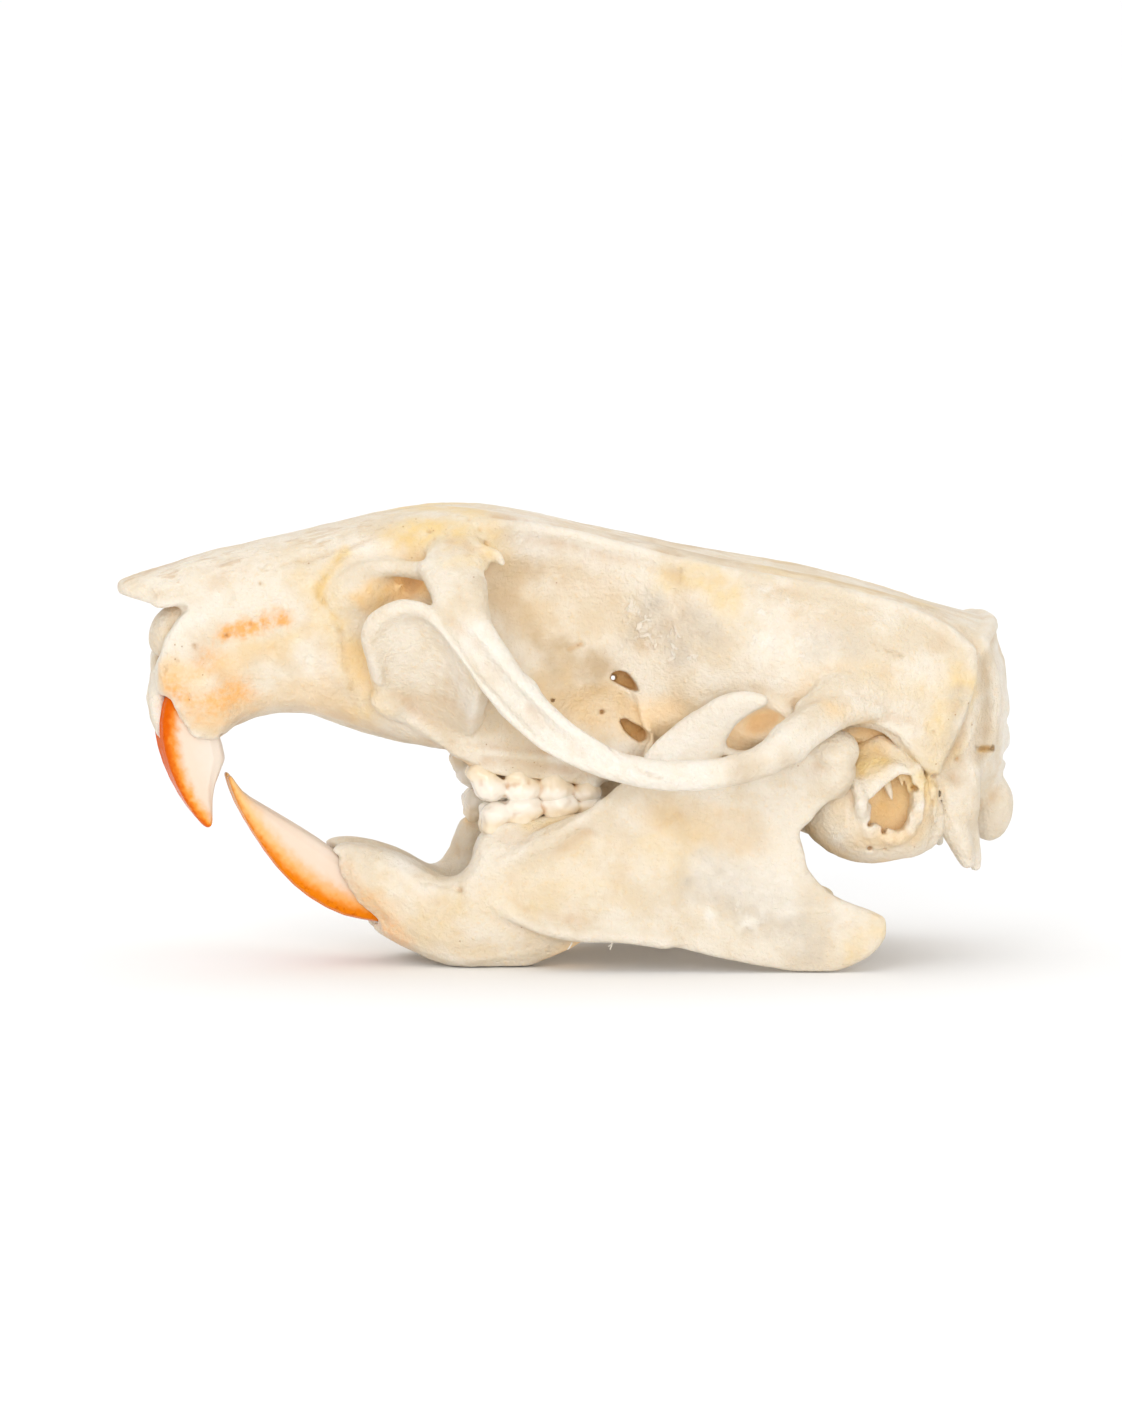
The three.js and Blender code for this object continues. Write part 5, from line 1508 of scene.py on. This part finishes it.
molarLook = {
    "enamel": toned(235, 226, 212),
    "neck": toned(224, 196, 146),
    "creviceDirtAndShade": toned(190, 132, 66),
    "neckScale": 2200.0,
    "neckBreak": 1.5,
    "neckShare": 0.45,
    "creviceShare": 0.8,
    "bumpStrength": 0.2,
    "bumpDepth": 0.03,
    "shader": {
        "Roughness": 0.22,
        "Subsurface Weight": 0.15,
        "Subsurface Radius": (1.0, 0.7, 0.45),
        "Subsurface Scale": 0.25 * mm,
    },
}


def molarMaterial(name):
    look = molarLook
    material, sheet, shader, place, grain = newLook(name, look["shader"])
    mottling = {"Strength": sheet.markOf("neck"), "Scale": look["neckScale"], "Break": look["neckBreak"]}
    neck = sheet.group(mottleTree, Place=place, **mottling)["Amount"]
    colour = sheet.tint(look["enamel"], neck, look["neckShare"], look["neck"])
    # Painted shade, with some dirt, in the hollows between the cusps
    colour = sheet.tint(colour, sheet.markOf("hollow"), look["creviceShare"], look["creviceDirtAndShade"])
    sheet.feed(shader["Base Color"], colour)
    sheet.feed(shader["Normal"], sheet.bump(grain["Height"], look["bumpStrength"], look["bumpDepth"]))
    return material


# Edges, from the front inward, in millimetres: deep to light tone, then enamel to bare dentine
enamelLook = {
    "upper": {"deep": toned(212, 92, 0), "light": toned(236, 156, 58), "edges": (0.25, 0.7, 0.5, 1.15)},
    "lower": {"deep": toned(226, 124, 8), "light": toned(236, 184, 112), "edges": (0.2, 0.75, 0.5, 1.55)},
    "stain": toned(186, 76, 0),
    "stainRange": (0.5, 0.1),
    "stainShare": 0.7,
    "rootShare": 0.4,
    "dentine": toned(227, 206, 186),
    "paleDentine": toned(228, 214, 199),
    "paleTo": 2.0,
    "roughEnamel": 0.2,
    "roughDentine": 0.36,
    "bumpStrength": 0.25,
    "bumpDepth": 0.03,
    "shader": {
        "Specular IOR Level": 0.06,
        "Subsurface Weight": 0.08,
        "Subsurface Radius": (1.0, 0.5, 0.25),
        "Subsurface Scale": 0.3 * mm,
    },
}


def enamelMaterial(name, tones):
    look = enamelLook
    material, sheet, shader, place, grain = newLook(name, look["shader"])
    inward = sheet.markOf("inward")
    deepTo, lightFrom, bareFrom, bareTo = tones["edges"]
    colour = sheet.mix(sheet.ranged(inward, deepTo, lightFrom), tones["deep"], tones["light"])
    colour = sheet.tint(colour, sheet.markOf("root"), look["rootShare"], tones["deep"])
    specks = sheet.times(sheet.ranged(inward, *look["stainRange"]), grain["Speck"])
    colour = sheet.tint(colour, specks, look["stainShare"], look["stain"])
    bare = sheet.ranged(inward, bareFrom, bareTo)
    colour = sheet.mix(bare, colour, look["dentine"])
    pale = sheet.ranged(inward, bareTo, look["paleTo"] * bareTo)
    colour = sheet.mix(pale, colour, look["paleDentine"])
    sheet.feed(shader["Base Color"], colour)
    gloss = sheet.ranged(bare, 0.0, 1.0, look["roughEnamel"], look["roughDentine"])
    sheet.feed(shader["Roughness"], gloss)
    sheet.feed(shader["Normal"], sheet.bump(grain["Height"], look["bumpStrength"], look["bumpDepth"]))
    return material


def dress(piece, look):
    piece.data.materials.clear()
    piece.data.materials.append(look)
    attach(piece, "root")


print("materials")
bone = boneMaterial("agedBone")
molarEnamel = molarMaterial("molarEnamel")
for piece in molars:
    dress(piece, molarEnamel)
dress(fibres, fibreLook)
enamels = {row: enamelMaterial(row + "Enamel", enamelLook[row]) for row in ("upper", "lower")}
for node, piece in pieces.items():
    isIncisor = "incisor" in node
    dress(piece, enamels[node.split("_")[0]] if isIncisor else bone)
    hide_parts(node)

print("floor, light and camera")
stageSettings = {
    "floorSize": 14.0,
    "floorShader": {"Base Color": (0.94, 0.94, 0.94, 1), "Roughness": 0.9, "Specular IOR Level": 0.1},
    "worldTone": (1, 1, 1, 1),
    "worldStrength": 0.7,
    # Place, size across, then power
    "lights": {
        "overheadLight": ((0.0, 0.8, 2.5), 8.0, 82.0),
        "keyLight": ((-0.5, -0.85, 0.5), 0.45, 1.9),
        "frontLight": ((0.0, -1.05, 0.12), 0.6, 5.3),
    },
    "cameraTurn": -8.0,
    "cameraRise": 6.0,
    "cameraDistance": 0.5,
    "cameraTarget": (0.0, 0.0, 12.9 * mm),
    "cameraReach": (0.01, 50.0),
    "pixelsPerMm": 20.0,
    "photoHeight": 1402,
    "sensor": 36.0,
}
half = stageSettings["floorSize"] / 2
floorMesh = bpy.data.meshes.new("floor")
corners = [(-half, -half, 0), (half, -half, 0), (half, half, 0), (-half, half, 0)]
floorMesh.from_pydata(corners, [], [(0, 1, 2, 3)])
floor = placed("floor", floorMesh)
floorLook = bpy.data.materials.new("paleFloor")
plainShader(floorLook, stageSettings["floorShader"])
floorMesh.materials.append(floorLook)

scene = bpy.context.scene
scene.world = bpy.data.worlds.new("studio")
scene.world.use_nodes = True
background = scene.world.node_tree.nodes["Background"].inputs
background["Color"].default_value = stageSettings["worldTone"]
background["Strength"].default_value = stageSettings["worldStrength"]
aim = Vector(stageSettings["cameraTarget"])
for name, (spot, size, power) in stageSettings["lights"].items():
    lamp = bpy.data.lights.new(name, "AREA")
    lamp.shape = "DISK"
    lamp.size = size
    lamp.energy = power
    holder = placed(name, lamp)
    holder.location = spot
    holder.rotation_euler = (aim - Vector(spot)).to_track_quat("-Z", "Y").to_euler()

camera = bpy.data.cameras.new("camera")
camera.sensor_width = stageSettings["sensor"]
objectPixels = stageSettings["pixelsPerMm"] * stageSettings["cameraDistance"] / mm
camera.lens = objectPixels / stageSettings["photoHeight"] * stageSettings["sensor"]
camera.clip_start, camera.clip_end = stageSettings["cameraReach"]
eye = placed("camera", camera)
turn = math.radians(stageSettings["cameraTurn"])
rise = math.radians(stageSettings["cameraRise"])
back = Vector((math.sin(turn) * math.cos(rise), -math.cos(turn) * math.cos(rise), math.sin(rise)))
eye.location = aim + back * stageSettings["cameraDistance"]
eye.rotation_euler = (-back).to_track_quat("-Z", "Y").to_euler()
scene.camera = eye
scene.view_settings.view_transform = "Standard"
scene.view_settings.look = "None"

print("done")
